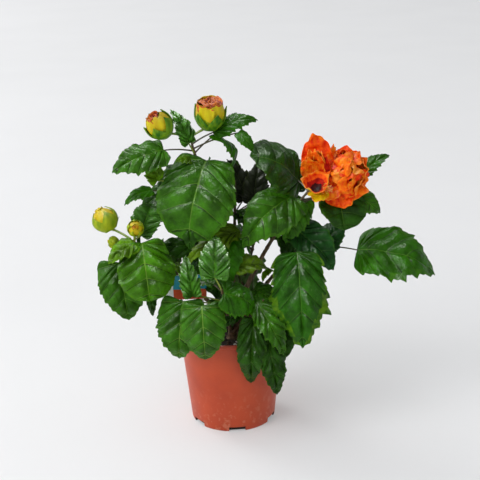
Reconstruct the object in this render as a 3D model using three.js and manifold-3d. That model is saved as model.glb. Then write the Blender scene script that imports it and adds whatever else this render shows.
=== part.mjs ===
// A flowering hibiscus shrub in the plastic nursery pot that it is sold in.
// Millimetres, +Z up. The origin is the middle of the pot's flat underside and the front looks along -Y.
// Directions are given as on a compass: a heading of 0 is +X, 90 is +Y (the back) and 270 is the front,
// and rise is the angle above level.
import * as THREE from 'three';
import { mergeVertices } from 'three/addons/utils/BufferGeometryUtils.js';
import Module from 'manifold-3d';

const wasm = await Module();
wasm.setup();

const GAP = 0.35; // clear space between neighbouring solids
const SLIVER = 0.01; // detail smaller than this is dropped
const FULL_TURN = 2 * Math.PI;
const UP = new THREE.Vector3(0, 0, 1);

// Pot, soil and label
const POT_HEIGHT = 120;
const RIM_RADIUS = 65;
const RIM_OVERHANG = 2;
const RIM_DEPTH = 5;
const FOOT_RADIUS = 51.5;
const POT_WALL = 1.8;
const POT_FLOOR = 3;
const POT_SEGMENTS = 40;
const NOTCH = { count: 6, width: 20, height: 6, depth: 5, first: 275 };
const SOIL_TOP = 102;
const SOIL_SEGMENTS = 24;
const SOIL_PLAY = 0.65; // between the soil and the wall, whose flats stand further in than its edges
const LABEL = { x: -54, y: -34, width: 54, height: 32, middle: 183, thick: 1.2, lean: 8 };
const STAKE = { width: 9, foot: 84, offset: 19 }; // it stands towards one end of the card

// Trunk, boughs and twigs
const TRUNK = { foot: [2, 0], top: [0, 1], height: 36, radius: 5, taper: 0.25, flare: 3.5, flareFade: 3.2 };
const TRUNK_ROWS = [0, 0.08, 0.2, 0.45, 0.75, 1];
const BOUGH_RADIUS = 3.2;
const TIP_RADIUS = 1.1;
const PETIOLE_RADIUS = 0.95;
const STALK_RADIUS = 1.3;
const SEAT = 4; // how far a petiole runs on into its blade

// Leaves, petals and buds
const LEAF_THICK = 1.2;
const LEAF_ROWS = [0, 0.1, 0.3, 0.54, 0.78, 1];
const LEAF_END = 1.3; // half width of a blade where it meets the petiole, and at its tip
const FOLD = 0.12;
const ARCH = 0.1;
const FRONT = 270; // the heading that most upper faces look to
const LEAF_TILT = 50; // and how far above level they look
const BUD_ROWS = [0, 0.12, 0.35, 0.6, 0.85, 1];
const BUD_SIDES = 8;
const BUD_SEAT = 3;

// Where the leaves that fill the crown may lie, and the slits in it that stay open
const CROWN = { x: -8, y: 30, z: 208, rx: 118, ry: 112, rz: 108 };
const LEAF_CLEARANCE = 5;
const CHANCE_SEED = 3;
const FILL_ROUNDS = 150;
const SPIRAL_TURN = 137.5;
const SLITS = [
  { x: -75, z: 244, radius: 14 },
  { x: 8, z: 277, radius: 11 },
  { x: 49, z: 214, radius: 15 },
  { x: 108, z: 258, radius: 15 },
  { x: -47, z: 341, radius: 18 },
  { x: -9, z: 351, radius: 18 },
];
const SLIT_SLOPE = Math.tan(THREE.MathUtils.degToRad(19)); // the slits are looked through from above level

// Each shoot is a limb bent once, from the trunk by its knee to its tip. It is bare up to the share given and
// carries leaves from there on, those listed and at most as many more as fill says. A leaf leaves the shoot
// at a share of its length: turn, rise and reach give its petiole, head and droop the way that its blade runs
// and, where they aren't the usual ones, face the heading that its upper side looks to and arch its bow.
const SHOOTS = [
  {
    name: 'front',
    foot: [2, 0, 113], knee: [-4, -38, 158], tip: [-8, -76, 196], bare: 0.45, fill: 0,
    leaves: [
      { at: 0.6, turn: 232, rise: 17, reach: 46, head: 279, droop: 77, length: 67, width: 54 },
      { at: 0.55, turn: 195, rise: 15, reach: 53, head: 246, droop: 72, length: 70, width: 58 },
      { at: 0.8, turn: 270, rise: 35, reach: 18, head: 20, droop: 31, length: 50, width: 42 },
      { at: 0.9, turn: 220, rise: 50, reach: 20, head: 80, droop: -73, length: 52, width: 42 },
      { at: 0.65, turn: 196, rise: 16, reach: 39, head: 123, droop: -76, length: 49, width: 34 },
    ],
  },
  {
    name: 'low_right',
    foot: [2, 0, 108], knee: [22, -25, 142], tip: [40, -52, 172], bare: 0.35, fill: 0,
    leaves: [
      { at: 0.65, turn: 285, rise: 44, reach: 25, head: 321, droop: 55, length: 69, width: 34 },
      { at: 0.5, turn: 280, rise: 18, reach: 37, head: 249, droop: 77, length: 83, width: 38 },
      { at: 0.4, turn: 300, rise: 2, reach: 48, head: 313, droop: 78, length: 80, width: 34 },
      { at: 0.4, turn: 342, rise: 8, reach: 48, head: 279, droop: 72, length: 48, width: 30 },
      { at: 0.65, turn: 85, rise: 39, reach: 29, head: 330, droop: 25, length: 44, width: 34 },
    ],
  },
  {
    name: 'left',
    foot: [2, 0, 120], knee: [-45, -2, 175], tip: [-112, -38, 246], bare: 0.45, fill: 3,
    leaves: [
      { at: 0.98, turn: 33, rise: 16, reach: 12, head: 38, droop: -66, length: 40, width: 38 },
      { at: 0.85, turn: 251, rise: 45, reach: 26, head: 287, droop: 67, length: 68, width: 68 },
      { at: 0.92, turn: 244, rise: 32, reach: 16, head: 215, droop: 25, length: 39, width: 28 },
      { at: 0.72, turn: 190, rise: 8, reach: 53, head: 295, droop: 72, length: 70, width: 60 },
      { at: 0.5, turn: 193, rise: 6, reach: 44, head: 269, droop: 76, length: 41, width: 14 },
    ],
    buds: [
      { at: 1, turn: 165, rise: 23, reach: 25, head: 165, lift: 60, length: 29, radius: 14 },
      { at: 0.97, turn: 330, rise: 80, reach: 16, head: 275, lift: 25, length: 16, radius: 8.5 },
      { at: 0.97, turn: 171, rise: -6, reach: 19, head: 190, lift: 15, length: 13, radius: 6 },
    ],
  },
  {
    name: 'top_left',
    foot: [0, 1, 138], knee: [-8, 5, 215], tip: [-40, -5, 356], bare: 0.4, fill: 6,
    leaves: [
      { at: 0.94, turn: 206, rise: 10, reach: 38, head: 203, droop: 14, length: 65, width: 42, arch: 0.05 },
      { at: 0.92, turn: 222, rise: 60, reach: 19, head: 198, droop: -68, length: 43, width: 24 },
      { at: 0.97, turn: 9, rise: 26, reach: 28, head: 0, droop: -20, length: 53, width: 24 },
      { at: 0.95, turn: 355, rise: 20, reach: 56, head: 341, droop: 49, length: 28, width: 16 },
      {
        at: 0.93, turn: 9, rise: 42, reach: 30, head: 335, droop: 62, length: 51, width: 30,
        face: 0, arch: 0.3,
      },
      { at: 0.88, turn: 230, rise: 38, reach: 12, head: 209, droop: -5, length: 21, width: 14 },
      { at: 0.75, turn: 204, rise: 20, reach: 62, head: 217, droop: -63, length: 36, width: 24 },
      { at: 0.7, turn: 202, rise: 19, reach: 71, head: 206, droop: 14, length: 36, width: 18 },
      { at: 0.82, turn: 192, rise: 39, reach: 19, head: 173, droop: 34, length: 52, width: 34 },
      { at: 0.78, turn: 298, rise: 73, reach: 34, head: 246, droop: 50, length: 94, width: 94 },
      { at: 0.52, turn: 225, rise: 49, reach: 25, head: 200, droop: -16, length: 60, width: 34 },
      { at: 0.62, turn: 159, rise: 25, reach: 60, head: 197, droop: 25, length: 37, width: 32 },
    ],
    buds: [
      { at: 1, turn: 197, rise: 12, reach: 28, head: 190, lift: 50, length: 33, radius: 15 },
      { at: 1, turn: 12, rise: 20, reach: 25, head: 90, lift: 85, length: 36, radius: 17 },
    ],
  },
  {
    name: 'bloom',
    foot: [2, 0, 124], knee: [45, 0, 235], tip: [104, -14, 300], bare: 0.5, fill: 3,
    leaves: [
      { at: 0.92, turn: 115, rise: 16, reach: 25, head: 206, droop: -37, length: 70, width: 76 },
      { at: 0.8, turn: 85, rise: 21, reach: 26, head: 110, droop: -77, length: 48, width: 26 },
      { at: 0.66, turn: 6, rise: 72, reach: 33, head: 217, droop: 25, length: 82, width: 66 },
      { at: 0.74, turn: 27, rise: 41, reach: 22, head: 227, droop: 53, length: 57, width: 38 },
      { at: 0.8, turn: 5, rise: 16, reach: 49, head: 284, droop: 49, length: 47, width: 64 },
      { at: 0.84, turn: 5, rise: 5, reach: 58, head: 337, droop: 27, length: 43, width: 34 },
      { at: 0.9, turn: 23, rise: 9, reach: 68, head: 14, droop: -32, length: 48, width: 24 },
    ],
  },
  {
    name: 'right',
    foot: [2, 0, 116], knee: [50, 5, 180], tip: [92, 8, 222], bare: 0.5, fill: 3,
    leaves: [
      { at: 0.92, turn: 2, rise: -6, reach: 70, head: 348, droop: 9, length: 98, width: 74 },
      { at: 0.98, turn: 236, rise: 52, reach: 25, head: 330, droop: 39, length: 64, width: 50 },
      { at: 0.95, turn: 352, rise: -9, reach: 20, head: 8, droop: -38, length: 43, width: 38 },
      { at: 0.84, turn: 272, rise: 20, reach: 45, head: 275, droop: 69, length: 113, width: 68 },
      { at: 0.68, turn: 351, rise: 51, reach: 12, head: 180, droop: -77, length: 30, width: 20 },
    ],
  },
  {
    name: 'centre',
    foot: [1, 0, 132], knee: [8, 12, 220], tip: [10, 22, 296], bare: 0.3, fill: 8,
    leaves: [
      { at: 0.56, turn: 284, rise: 35, reach: 30, head: 205, droop: 19, length: 76, width: 30 },
      { at: 0.44, turn: 191, rise: 16, reach: 34, head: 194, droop: -9, length: 63, width: 30 },
      { at: 0.35, turn: 274, rise: 18, reach: 39, head: 7, droop: -1, length: 39, width: 30 },
      { at: 0.74, turn: 64, rise: 17, reach: 33, head: 217, droop: -65, length: 60, width: 30 },
      { at: 0.74, turn: 30, rise: 18, reach: 28, head: 45, droop: -80, length: 50, width: 34 },
      { at: 0.78, turn: 251, rise: 70, reach: 10, head: 215, droop: -59, length: 34, width: 20 },
    ],
  },
  {
    name: 'back_left',
    foot: [2, 0, 117], knee: [-22, 32, 170], tip: [-45, 58, 235], bare: 0.4, fill: 11,
    leaves: [],
  },
  {
    name: 'back_right',
    foot: [2, 0, 128], knee: [24, 36, 175], tip: [38, 62, 235], bare: 0.4, fill: 11,
    leaves: [],
  },
];

// The bloom: petals that stand out round one eye, which looks to the front and a little to the left
const BLOOM = { eye: [117, -16, 303], head: 255, rise: 15, core: 9 };
const PETAL = { arch: -0.12, fold: 0.1, thick: 1.2, ripple: 2.5 };
const PETAL_ROWS = [0, 0.35, 0.75, 1];
const PETAL_COLUMNS = [-1, -0.4, 0.2, 1];
const PETALS = [
  { head: 185, rise: 66, length: 53, width: 36 },
  { head: 30, rise: 82, length: 38, width: 14 },
  { head: 218, rise: -18, length: 40, width: 40 },
  { head: 255, rise: -45, length: 34, width: 34 },
  { head: 300, rise: -45, length: 42, width: 42 },
  { head: 345, rise: 0, length: 46, width: 44 },
  { head: 0, rise: 50, length: 48, width: 40 },
  { head: 290, rise: 10, length: 34, width: 36 },
  { head: 310, rise: 38, length: 38, width: 34 },
  { head: 215, rise: 35, length: 34, width: 30 },
  { head: 60, rise: 20, length: 34, width: 36 },
  { head: 130, rise: 10, length: 30, width: 34 },
];

const FINISH = {
  terracotta: { color: 0xb5532f, roughness: 0.55 },
  compost: { color: 0x2a1c16, roughness: 1 },
  card: { color: 0xe9eeee, roughness: 0.5 },
  bark: { color: 0x6b5138, roughness: 0.85 },
  foliage: { color: 0x2f6b1f, roughness: 0.4 },
  petals: { color: 0xe4521b, roughness: 0.6 },
};

const radians = THREE.MathUtils.degToRad;

function vector(values) {
  return new THREE.Vector3(...values);
}

function compass(heading, rise) {
  const level = Math.cos(radians(rise));
  return new THREE.Vector3(
    level * Math.cos(radians(heading)),
    level * Math.sin(radians(heading)),
    Math.sin(radians(rise)),
  );
}

// The same run of numbers between 0 and 1 each time, from a whole number of at least 1
function randomFrom(seed) {
  let state = seed;
  return () => {
    state = (state * 48271) % 2147483647;
    return state / 2147483647;
  };
}

// A closed skin over rings that all have the same number of points. Its end caps are ladders from one half
// of the ring to the other, which hold for a thin wavy blade as well as for a round limb.
function skin(rings) {
  const count = rings[0].length;
  const positions = rings.flat().flatMap((point) => point.toArray());
  const faces = [];
  for (let ring = 0; ring + 1 < rings.length; ring += 1) {
    for (let i = 0; i < count; i += 1) {
      const a = ring * count + i;
      const b = ring * count + ((i + 1) % count);
      faces.push(a, b, b + count, a, b + count, a + count);
    }
  }
  const last = (rings.length - 1) * count;
  for (let i = 0; 2 * i + 2 < count; i += 1) {
    const [a, b, c, d] = [i, i + 1, count - 2 - i, count - 1 - i];
    faces.push(a, c, b, a, d, c);
    faces.push(last + a, last + b, last + c, last + a, last + c, last + d);
  }
  const geometry = new THREE.BufferGeometry();
  geometry.setAttribute('position', new THREE.Float32BufferAttribute(positions, 3));
  geometry.setIndex(faces);
  return geometry;
}

function enclosedVolume(points, faces) {
  const [a, b, c] = [new THREE.Vector3(), new THREE.Vector3(), new THREE.Vector3()];
  let sum = 0;
  for (let i = 0; i < faces.length; i += 3) {
    a.fromArray(points, faces[i] * 3);
    b.fromArray(points, faces[i + 1] * 3);
    c.fromArray(points, faces[i + 2] * 3);
    sum += a.dot(b.cross(c)) / 6;
  }
  return sum;
}

// A closed geometry as a solid, with its shared vertices merged and its faces turned outwards
function toSolid(geometry) {
  const bare = geometry.clone();
  bare.deleteAttribute('normal');
  bare.deleteAttribute('uv');
  const merged = mergeVertices(bare, 1e-4);
  const points = merged.attributes.position.array;
  const faces = [];
  for (let i = 0; i < merged.index.count; i += 3) {
    const [a, b, c] = merged.index.array.slice(i, i + 3);
    if (a !== b && b !== c && c !== a) faces.push(a, b, c);
  }
  if (enclosedVolume(points, faces) < 0) faces.reverse();
  return new wasm.Manifold(new wasm.Mesh({
    numProp: 3,
    vertProperties: new Float32Array(points),
    triVerts: new Uint32Array(faces),
  }));
}

// A solid as a geometry, without the slivers that are left where its pieces cross
function toGeometry(solid) {
  const mesh = solid.simplify(SLIVER).getMesh();
  const geometry = new THREE.BufferGeometry();
  geometry.setAttribute('position', new THREE.BufferAttribute(mesh.vertProperties, 3));
  geometry.setIndex(new THREE.BufferAttribute(mesh.triVerts, 1));
  return geometry;
}

function join(solids) {
  return wasm.Manifold.union(solids);
}

function largestBody(solid) {
  return solid.decompose().sort((a, b) => b.volume() - a.volume())[0];
}

// A round limb along a stretch of a curve, tapering from one radius to the other
function limb(curve, { from = 0, to = 1, thick, thin, sides = 6, steps = 5, extra = 0 }) {
  const chord = curve.getPoint(to).sub(curve.getPoint(from)).normalize();
  const reference = Math.abs(chord.y) < 0.7 ? new THREE.Vector3(0, 1, 0) : new THREE.Vector3(1, 0, 0);
  const rings = [];
  for (let step = 0; step <= steps; step += 1) {
    const share = step / steps;
    const at = from + (to - from) * share;
    const centre = curve.getPoint(at);
    const radius = THREE.MathUtils.lerp(thick, thin, share) + extra;
    const across = new THREE.Vector3().crossVectors(curve.getTangent(at), reference).normalize();
    const along = new THREE.Vector3().crossVectors(curve.getTangent(at), across);
    const ring = [];
    for (let side = 0; side < sides; side += 1) {
      const angle = (side / sides) * FULL_TURN;
      ring.push(centre.clone()
        .addScaledVector(across, radius * Math.cos(angle))
        .addScaledVector(along, radius * Math.sin(angle)));
    }
    rings.push(ring);
  }
  return toSolid(skin(rings));
}

// The three directions of a blade: along it, to its right and out of its upper face, which turns as far
// towards the way it faces as the run of the blade lets it
function bladeFrame(chord, facing) {
  const side = new THREE.Vector3().crossVectors(chord, facing).normalize();
  const normal = new THREE.Vector3().crossVectors(side, chord).normalize();
  return { chord, side, normal };
}

function leafFrame({ head, droop, face = FRONT }) {
  return bladeFrame(compass(head, -droop), compass(face, LEAF_TILT));
}

// Half the width of a pointed oval leaf, as a share of its greatest, at a share of its length
function ovalWidth(share) {
  return 2.31 * share ** 0.45 * (1 - share) ** 0.85;
}

// A fan-shaped petal, narrow at its claw and broad near its outer edge
function fanWidth(share) {
  return 1.06 * Math.sin(Math.PI * Math.min(1, 0.06 + 0.86 * share ** 1.15)) ** 0.6;
}

// A point of a blade: share runs from its base to its tip and across from -1 to 1
function bladePoint(base, frame, { length, arch = ARCH, fold = FOLD }, share, across, halfWidth) {
  const reach = halfWidth * across;
  const lift = 4 * arch * length * share * (1 - share) + fold * Math.abs(reach);
  return base.clone()
    .addScaledVector(frame.chord, length * share)
    .addScaledVector(frame.side, reach)
    .addScaledVector(frame.normal, lift);
}

// A closed thin blade: columns are the places across it that get a point above and one below, and the
// ripple lifts every other one of them
function bladeSolid(base, frame, blade, { rows, columns, widthAt, thick, ripple = 0, extra }) {
  const rings = rows.map((share) => {
    const halfWidth = Math.max(LEAF_END, (blade.width / 2) * widthAt(share)) + extra;
    const lifted = columns.map((across, index) => bladePoint(base, frame, blade, share, across, halfWidth)
      .addScaledVector(frame.normal, ripple * share * (index % 2 === 0 ? 1 : -1)));
    const half = thick / 2 + extra;
    const above = lifted.map((point) => point.clone().addScaledVector(frame.normal, half));
    const below = lifted.map((point) => point.clone().addScaledVector(frame.normal, -half));
    return [...above, ...below.reverse()];
  });
  return toSolid(skin(rings));
}

function shootCurve(shoot) {
  return new THREE.QuadraticBezierCurve3(vector(shoot.foot), vector(shoot.knee), vector(shoot.tip));
}

function leafBase(shoot, leaf) {
  return shootCurve(shoot).getPoint(leaf.at).addScaledVector(compass(leaf.turn, leaf.rise), leaf.reach);
}

// A petiole or bud stalk: it leaves the shoot rising and bows over to where it ends
function stalk(start, end, radius, extra) {
  const middle = start.clone().lerp(end, 0.5).addScaledVector(UP, 0.08 * start.distanceTo(end));
  const curve = new THREE.QuadraticBezierCurve3(start, middle, end);
  return limb(curve, { thick: radius * 1.15, thin: radius, sides: 3, steps: 3, extra });
}

function leafSolids(shoot, leaf, extra) {
  const base = leafBase(shoot, leaf);
  const frame = leafFrame(leaf);
  const sunk = bladePoint(base, frame, leaf, SEAT / leaf.length, 0, 0);
  const blade = bladeSolid(base, frame, leaf, {
    rows: LEAF_ROWS, columns: [-1, 0, 1], widthAt: ovalWidth, thick: LEAF_THICK, extra,
  });
  return [stalk(shootCurve(shoot).getPoint(leaf.at), sunk, PETIOLE_RADIUS, extra), blade];
}

// How far a bud stands out round its axis: egg-shaped, and cut off blunt where the petals begin to show
function budRadius(bud, share) {
  return bud.radius * Math.sin(Math.PI * (0.09 + 0.76 * share)) ** 0.8;
}

function budSolids(shoot, bud, extra) {
  const start = shootCurve(shoot).getPoint(bud.at);
  const base = start.clone().addScaledVector(compass(bud.turn, bud.rise), bud.reach);
  const axis = compass(bud.head, bud.lift);
  const curve = new THREE.LineCurve3(base, base.clone().addScaledVector(axis, bud.length));
  const side = new THREE.Vector3().crossVectors(axis, compass(bud.head + 90, 0)).normalize();
  const other = new THREE.Vector3().crossVectors(axis, side);
  const rings = BUD_ROWS.map((share) => {
    const radius = budRadius(bud, share) + extra;
    return Array.from({ length: BUD_SIDES }, (_, i) => curve.getPoint(share)
      .addScaledVector(side, radius * Math.cos((i / BUD_SIDES) * FULL_TURN))
      .addScaledVector(other, radius * Math.sin((i / BUD_SIDES) * FULL_TURN)));
  });
  const sunk = base.clone().addScaledVector(axis, BUD_SEAT);
  return [stalk(start, sunk, STALK_RADIUS, extra), toSolid(skin(rings))];
}

// Points spread over a blade, by which a new leaf is kept clear of what is there already
function leafSamples(shoot, leaf) {
  const base = leafBase(shoot, leaf);
  const frame = leafFrame(leaf);
  const samples = [0.45, 0.65, 0.85].map((share) => shootCurve(shoot).getPoint(leaf.at).lerp(base, share));
  for (const share of [0, 0.15, 0.3, 0.45, 0.6, 0.75, 0.9, 1]) {
    for (const across of [-1, -0.5, 0, 0.5, 1]) {
      samples.push(bladePoint(base, frame, leaf, share, across, (leaf.width / 2) * ovalWidth(share)));
    }
  }
  return samples;
}

function insideCrown(point) {
  const x = (point.x - CROWN.x) / CROWN.rx;
  const y = (point.y - CROWN.y) / CROWN.ry;
  const z = (point.z - CROWN.z) / CROWN.rz;
  return x * x + y * y + z * z < 1;
}

function inSlit(point) {
  const height = point.z + point.y * SLIT_SLOPE;
  return SLITS.some((slit) => Math.hypot(point.x - slit.x, height - slit.z) < slit.radius);
}

function isClear(samples, taken) {
  return samples.every((point) => insideCrown(point) && !inSlit(point)
    && taken.every((other) => point.distanceTo(other) > LEAF_CLEARANCE));
}

// One leaf of ordinary size somewhere on the shoot, pointing roughly the way that its petiole does
function chanceLeaf(shoot, random) {
  const length = 55 + 30 * random();
  return {
    at: shoot.bare + 0.08 + (0.9 - shoot.bare) * random(),
    turn: shoot.turn,
    rise: 10 + 40 * random(),
    reach: 18 + 30 * random(),
    head: shoot.turn + 50 * (random() - 0.5),
    droop: 10 + 65 * random(),
    face: shoot.turn,
    length,
    width: length * (0.6 + 0.25 * random()),
  };
}

// Points over the face of the label's card
function labelSamples() {
  return [-0.5, -0.25, 0, 0.25, 0.5].flatMap((across) => [-0.5, 0, 0.5].map((above) => new THREE.Vector3(
    LABEL.x + across * LABEL.width,
    LABEL.y,
    LABEL.middle + above * LABEL.height,
  )));
}

// Leaves that fill the crown at its back and sides: a spiral up each shoot with a little chance in it.
// One that would leave the crown, close a slit or come near another leaf, a limb or the label is left out.
function fillLeaves(shoots) {
  const random = randomFrom(CHANCE_SEED);
  const taken = [
    ...shoots.flatMap((shoot) => shoot.leaves.flatMap((leaf) => leafSamples(shoot, leaf))),
    ...shoots.flatMap((shoot) => shootCurve(shoot).getPoints(40)),
    ...labelSamples(),
  ];
  const grown = shoots.map((shoot) => ({ ...shoot, leaves: [...shoot.leaves], turn: 90 }));
  for (let round = 0; round < FILL_ROUNDS; round += 1) {
    grown.forEach((shoot, index) => {
      if (shoot.leaves.length === shoots[index].leaves.length + shoot.fill) return;
      shoot.turn = (shoot.turn + SPIRAL_TURN) % 360;
      const leaf = chanceLeaf(shoot, random);
      const samples = leafSamples(shoot, leaf);
      if (isClear(samples, taken)) {
        taken.push(...samples);
        shoot.leaves.push(leaf);
      }
    });
  }
  return grown;
}

// The outside of the pot's wall at a height, below the rim
function wallRadius(height) {
  const slope = (RIM_RADIUS - RIM_OVERHANG - FOOT_RADIUS) / (POT_HEIGHT - RIM_DEPTH);
  return FOOT_RADIUS + slope * height;
}

// A solid of revolution about the pot's axis, from pairs of radius and height
function turned(profile, segments) {
  const points = profile.map(([radius, height]) => new THREE.Vector2(radius, height));
  return toSolid(new THREE.LatheGeometry(points, segments).rotateX(Math.PI / 2));
}

// The pot: a shell with a rolled rim, and a foot edge with notches for the water to run out
function potSolid() {
  const neck = POT_HEIGHT - RIM_DEPTH;
  let pot = turned([
    [0, 0],
    [FOOT_RADIUS - 1, 0],
    [FOOT_RADIUS, 1],
    [wallRadius(neck), neck],
    [RIM_RADIUS - 0.4, neck + 0.8],
    [RIM_RADIUS, neck + 2.5],
    [RIM_RADIUS - 0.5, POT_HEIGHT - 0.6],
    [RIM_RADIUS - 1.6, POT_HEIGHT],
    [wallRadius(neck) - 0.6, POT_HEIGHT - 0.4],
    [wallRadius(neck) - POT_WALL, neck],
    [wallRadius(POT_FLOOR) - POT_WALL, POT_FLOOR],
    [0, POT_FLOOR],
  ], POT_SEGMENTS);
  for (let i = 0; i < NOTCH.count; i += 1) {
    const cutter = new THREE.BoxGeometry(2 * NOTCH.depth, NOTCH.width, 2 * NOTCH.height);
    cutter.translate(FOOT_RADIUS, 0, 0);
    cutter.rotateZ(radians(NOTCH.first + (i * 360) / NOTCH.count));
    pot = pot.subtract(toSolid(cutter));
  }
  return pot;
}

// The soil fills the pot and is a little uneven on top, flat where the trunk stands
function soilSolid() {
  const foot = POT_FLOOR + GAP;
  const radiusAt = (height) => wallRadius(height) - POT_WALL - SOIL_PLAY;
  return turned([
    [0, foot],
    [radiusAt(foot), foot],
    [radiusAt(SOIL_TOP - 3), SOIL_TOP - 3],
    [0.8 * radiusAt(SOIL_TOP), SOIL_TOP + 1],
    [30, SOIL_TOP - 1.5],
    [14, SOIL_TOP],
    [0, SOIL_TOP],
  ], SOIL_SEGMENTS);
}

// A plain card on a stake that is pushed into the soil
function labelSolid(extra) {
  const stakeHeight = LABEL.middle - STAKE.foot;
  const plate = (width, height) => (
    new THREE.BoxGeometry(width + 2 * extra, LABEL.thick + 2 * extra, height + 2 * extra)
  );
  const card = plate(LABEL.width, LABEL.height);
  const stake = plate(STAKE.width, stakeHeight).translate(STAKE.offset, 0, -stakeHeight / 2);
  return join([card, stake].map((piece) => {
    piece.rotateX(radians(LABEL.lean));
    piece.translate(LABEL.x, LABEL.y, LABEL.middle);
    return toSolid(piece);
  }));
}

// The trunk tapers and leans a little, and flares out where it stands on the soil
function trunkRadius(share) {
  const flare = TRUNK.flare * Math.exp((-share * TRUNK.height) / TRUNK.flareFade);
  return TRUNK.radius * (1 - TRUNK.taper * share) + flare;
}

function trunkSolid(extra) {
  const sides = 10;
  const rings = TRUNK_ROWS.map((share) => {
    const radius = trunkRadius(share) + extra;
    const x = THREE.MathUtils.lerp(TRUNK.foot[0], TRUNK.top[0], share);
    const y = THREE.MathUtils.lerp(TRUNK.foot[1], TRUNK.top[1], share);
    return Array.from({ length: sides }, (_, i) => new THREE.Vector3(
      x + radius * Math.cos((i / sides) * FULL_TURN),
      y + radius * Math.sin((i / sides) * FULL_TURN),
      SOIL_TOP + GAP + share * TRUNK.height,
    ));
  });
  return toSolid(skin(rings));
}

function shootRadius(share) {
  return THREE.MathUtils.lerp(BOUGH_RADIUS, TIP_RADIUS, share);
}

function boughSolid(shoot, extra) {
  return limb(shootCurve(shoot), {
    to: shoot.bare, thick: shootRadius(0), thin: shootRadius(shoot.bare), steps: 6, extra,
  });
}

// The leafy end of a shoot: its stem, which starts a gap away from the bough, with its leaves and buds
function massSolid(shoot, extra) {
  const curve = shootCurve(shoot);
  const from = shoot.bare + GAP / curve.getLength();
  const stem = limb(curve, {
    from, thick: shootRadius(shoot.bare), thin: TIP_RADIUS, sides: 5, steps: 5, extra,
  });
  return join([
    stem,
    ...shoot.leaves.flatMap((leaf) => leafSolids(shoot, leaf, extra)),
    ...(shoot.buds ?? []).flatMap((bud) => budSolids(shoot, bud, extra)),
  ]);
}

function bloomSolid(extra) {
  const eye = vector(BLOOM.eye);
  const facing = compass(BLOOM.head, BLOOM.rise);
  const core = new THREE.IcosahedronGeometry(BLOOM.core + extra, 1).translate(...BLOOM.eye);
  return join([toSolid(core), ...PETALS.map((petal) => {
    const frame = bladeFrame(compass(petal.head, petal.rise), facing);
    return bladeSolid(eye, frame, { ...petal, arch: PETAL.arch, fold: PETAL.fold }, {
      rows: PETAL_ROWS, columns: PETAL_COLUMNS, widthAt: fanWidth,
      thick: PETAL.thick, ripple: PETAL.ripple, extra,
    });
  })]);
}

const plant = new THREE.Group();

function addPiece(name, solid, { color, roughness }) {
  const material = new THREE.MeshStandardMaterial({ color, roughness, metalness: 0 });
  const mesh = new THREE.Mesh(toGeometry(solid), material);
  mesh.name = name;
  plant.add(mesh);
}

// Every limb, mass and bloom is cut clear of the ones before it, by the gap that touching pieces keep
const taken = [];

function addClear(name, build, finish) {
  const solid = taken.length > 0 ? build(0).subtract(join(taken)) : build(0);
  addPiece(name, largestBody(solid), finish);
  taken.push(build(GAP));
}

const shoots = fillLeaves(SHOOTS);

addPiece('pot', potSolid(), FINISH.terracotta);
addPiece('soil', soilSolid().subtract(labelSolid(GAP)), FINISH.compost);
addClear('plant_label', labelSolid, FINISH.card);
addClear('trunk', trunkSolid, FINISH.bark);
for (const shoot of shoots) {
  addClear(`bough_${shoot.name}`, (extra) => boughSolid(shoot, extra), FINISH.bark);
}
addClear('bloom', bloomSolid, FINISH.petals);
for (const shoot of shoots) {
  addClear(`leaves_${shoot.name}`, (extra) => massSolid(shoot, extra), FINISH.foliage);
}

export default plant;
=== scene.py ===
# A flowering hibiscus shrub in its nursery pot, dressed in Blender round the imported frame.
# Sizes and places are in millimetres and become metres where a mesh is made. Directions are given as
# on a compass: a heading of 0 is +X, 90 is +Y (the back) and 270 is the front, and rise is the angle
# above level.
import math
from collections import namedtuple

import bmesh
import bpy
import numpy as np
from mathutils import Matrix, Vector, noise


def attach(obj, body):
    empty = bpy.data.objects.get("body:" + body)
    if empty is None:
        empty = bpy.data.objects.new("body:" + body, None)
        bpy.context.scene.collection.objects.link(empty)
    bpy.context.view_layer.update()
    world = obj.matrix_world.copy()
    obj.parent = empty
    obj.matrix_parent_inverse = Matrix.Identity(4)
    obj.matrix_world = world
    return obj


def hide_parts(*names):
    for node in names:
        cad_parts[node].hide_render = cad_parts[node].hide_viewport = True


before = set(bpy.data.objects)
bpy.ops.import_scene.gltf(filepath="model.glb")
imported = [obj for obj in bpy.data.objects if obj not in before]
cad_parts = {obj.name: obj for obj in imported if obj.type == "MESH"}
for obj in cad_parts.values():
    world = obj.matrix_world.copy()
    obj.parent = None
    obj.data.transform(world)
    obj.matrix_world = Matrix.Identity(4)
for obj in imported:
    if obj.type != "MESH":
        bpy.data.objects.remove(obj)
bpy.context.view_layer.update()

MM = 0.001
BODY = "root"
LOOKS_SEED = 11  # of the chances that vary the looks

# Pot, soil and label
POT_HEIGHT = 120
RIM_RADIUS = 65
RIM_OVERHANG = 2
RIM_DEPTH = 5
FOOT_RADIUS = 51.5
POT_WALL = 1.8
POT_FLOOR = 3
POT_SEGMENTS = 160
NOTCH = dict(count=6, width=20, height=6, depth=5, first=275)
SOIL_TOP = 102
SOIL_PLAY = 0.65
CRUMBS = 420
POT_CREASE = 40
SCUFFS = dict(top=64, size=6, strength=0.4, colour=(206, 138, 104))
LABEL = dict(x=-54, y=-34, width=54, height=32, middle=183, lean=8, thick=0.8, curl=1.5)
STAKE = dict(width=9, foot=86, offset=19)

# Trunk, boughs and twigs
TRUNK = dict(foot=(2, 0), top=(0, 1), height=36, radius=5, taper=0.25, flare=3.5, flare_fade=3.2)
BOUGH_RADIUS = 3.2
TIP_RADIUS = 1.1
PETIOLE_RADIUS = 0.8
STALK_RADIUS = 1.3
SCAR_SPACING = 11  # from one old leaf scar on the bark to the next
BARK_STEP = 1.2  # from one ring of points on the bark to the next

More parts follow.
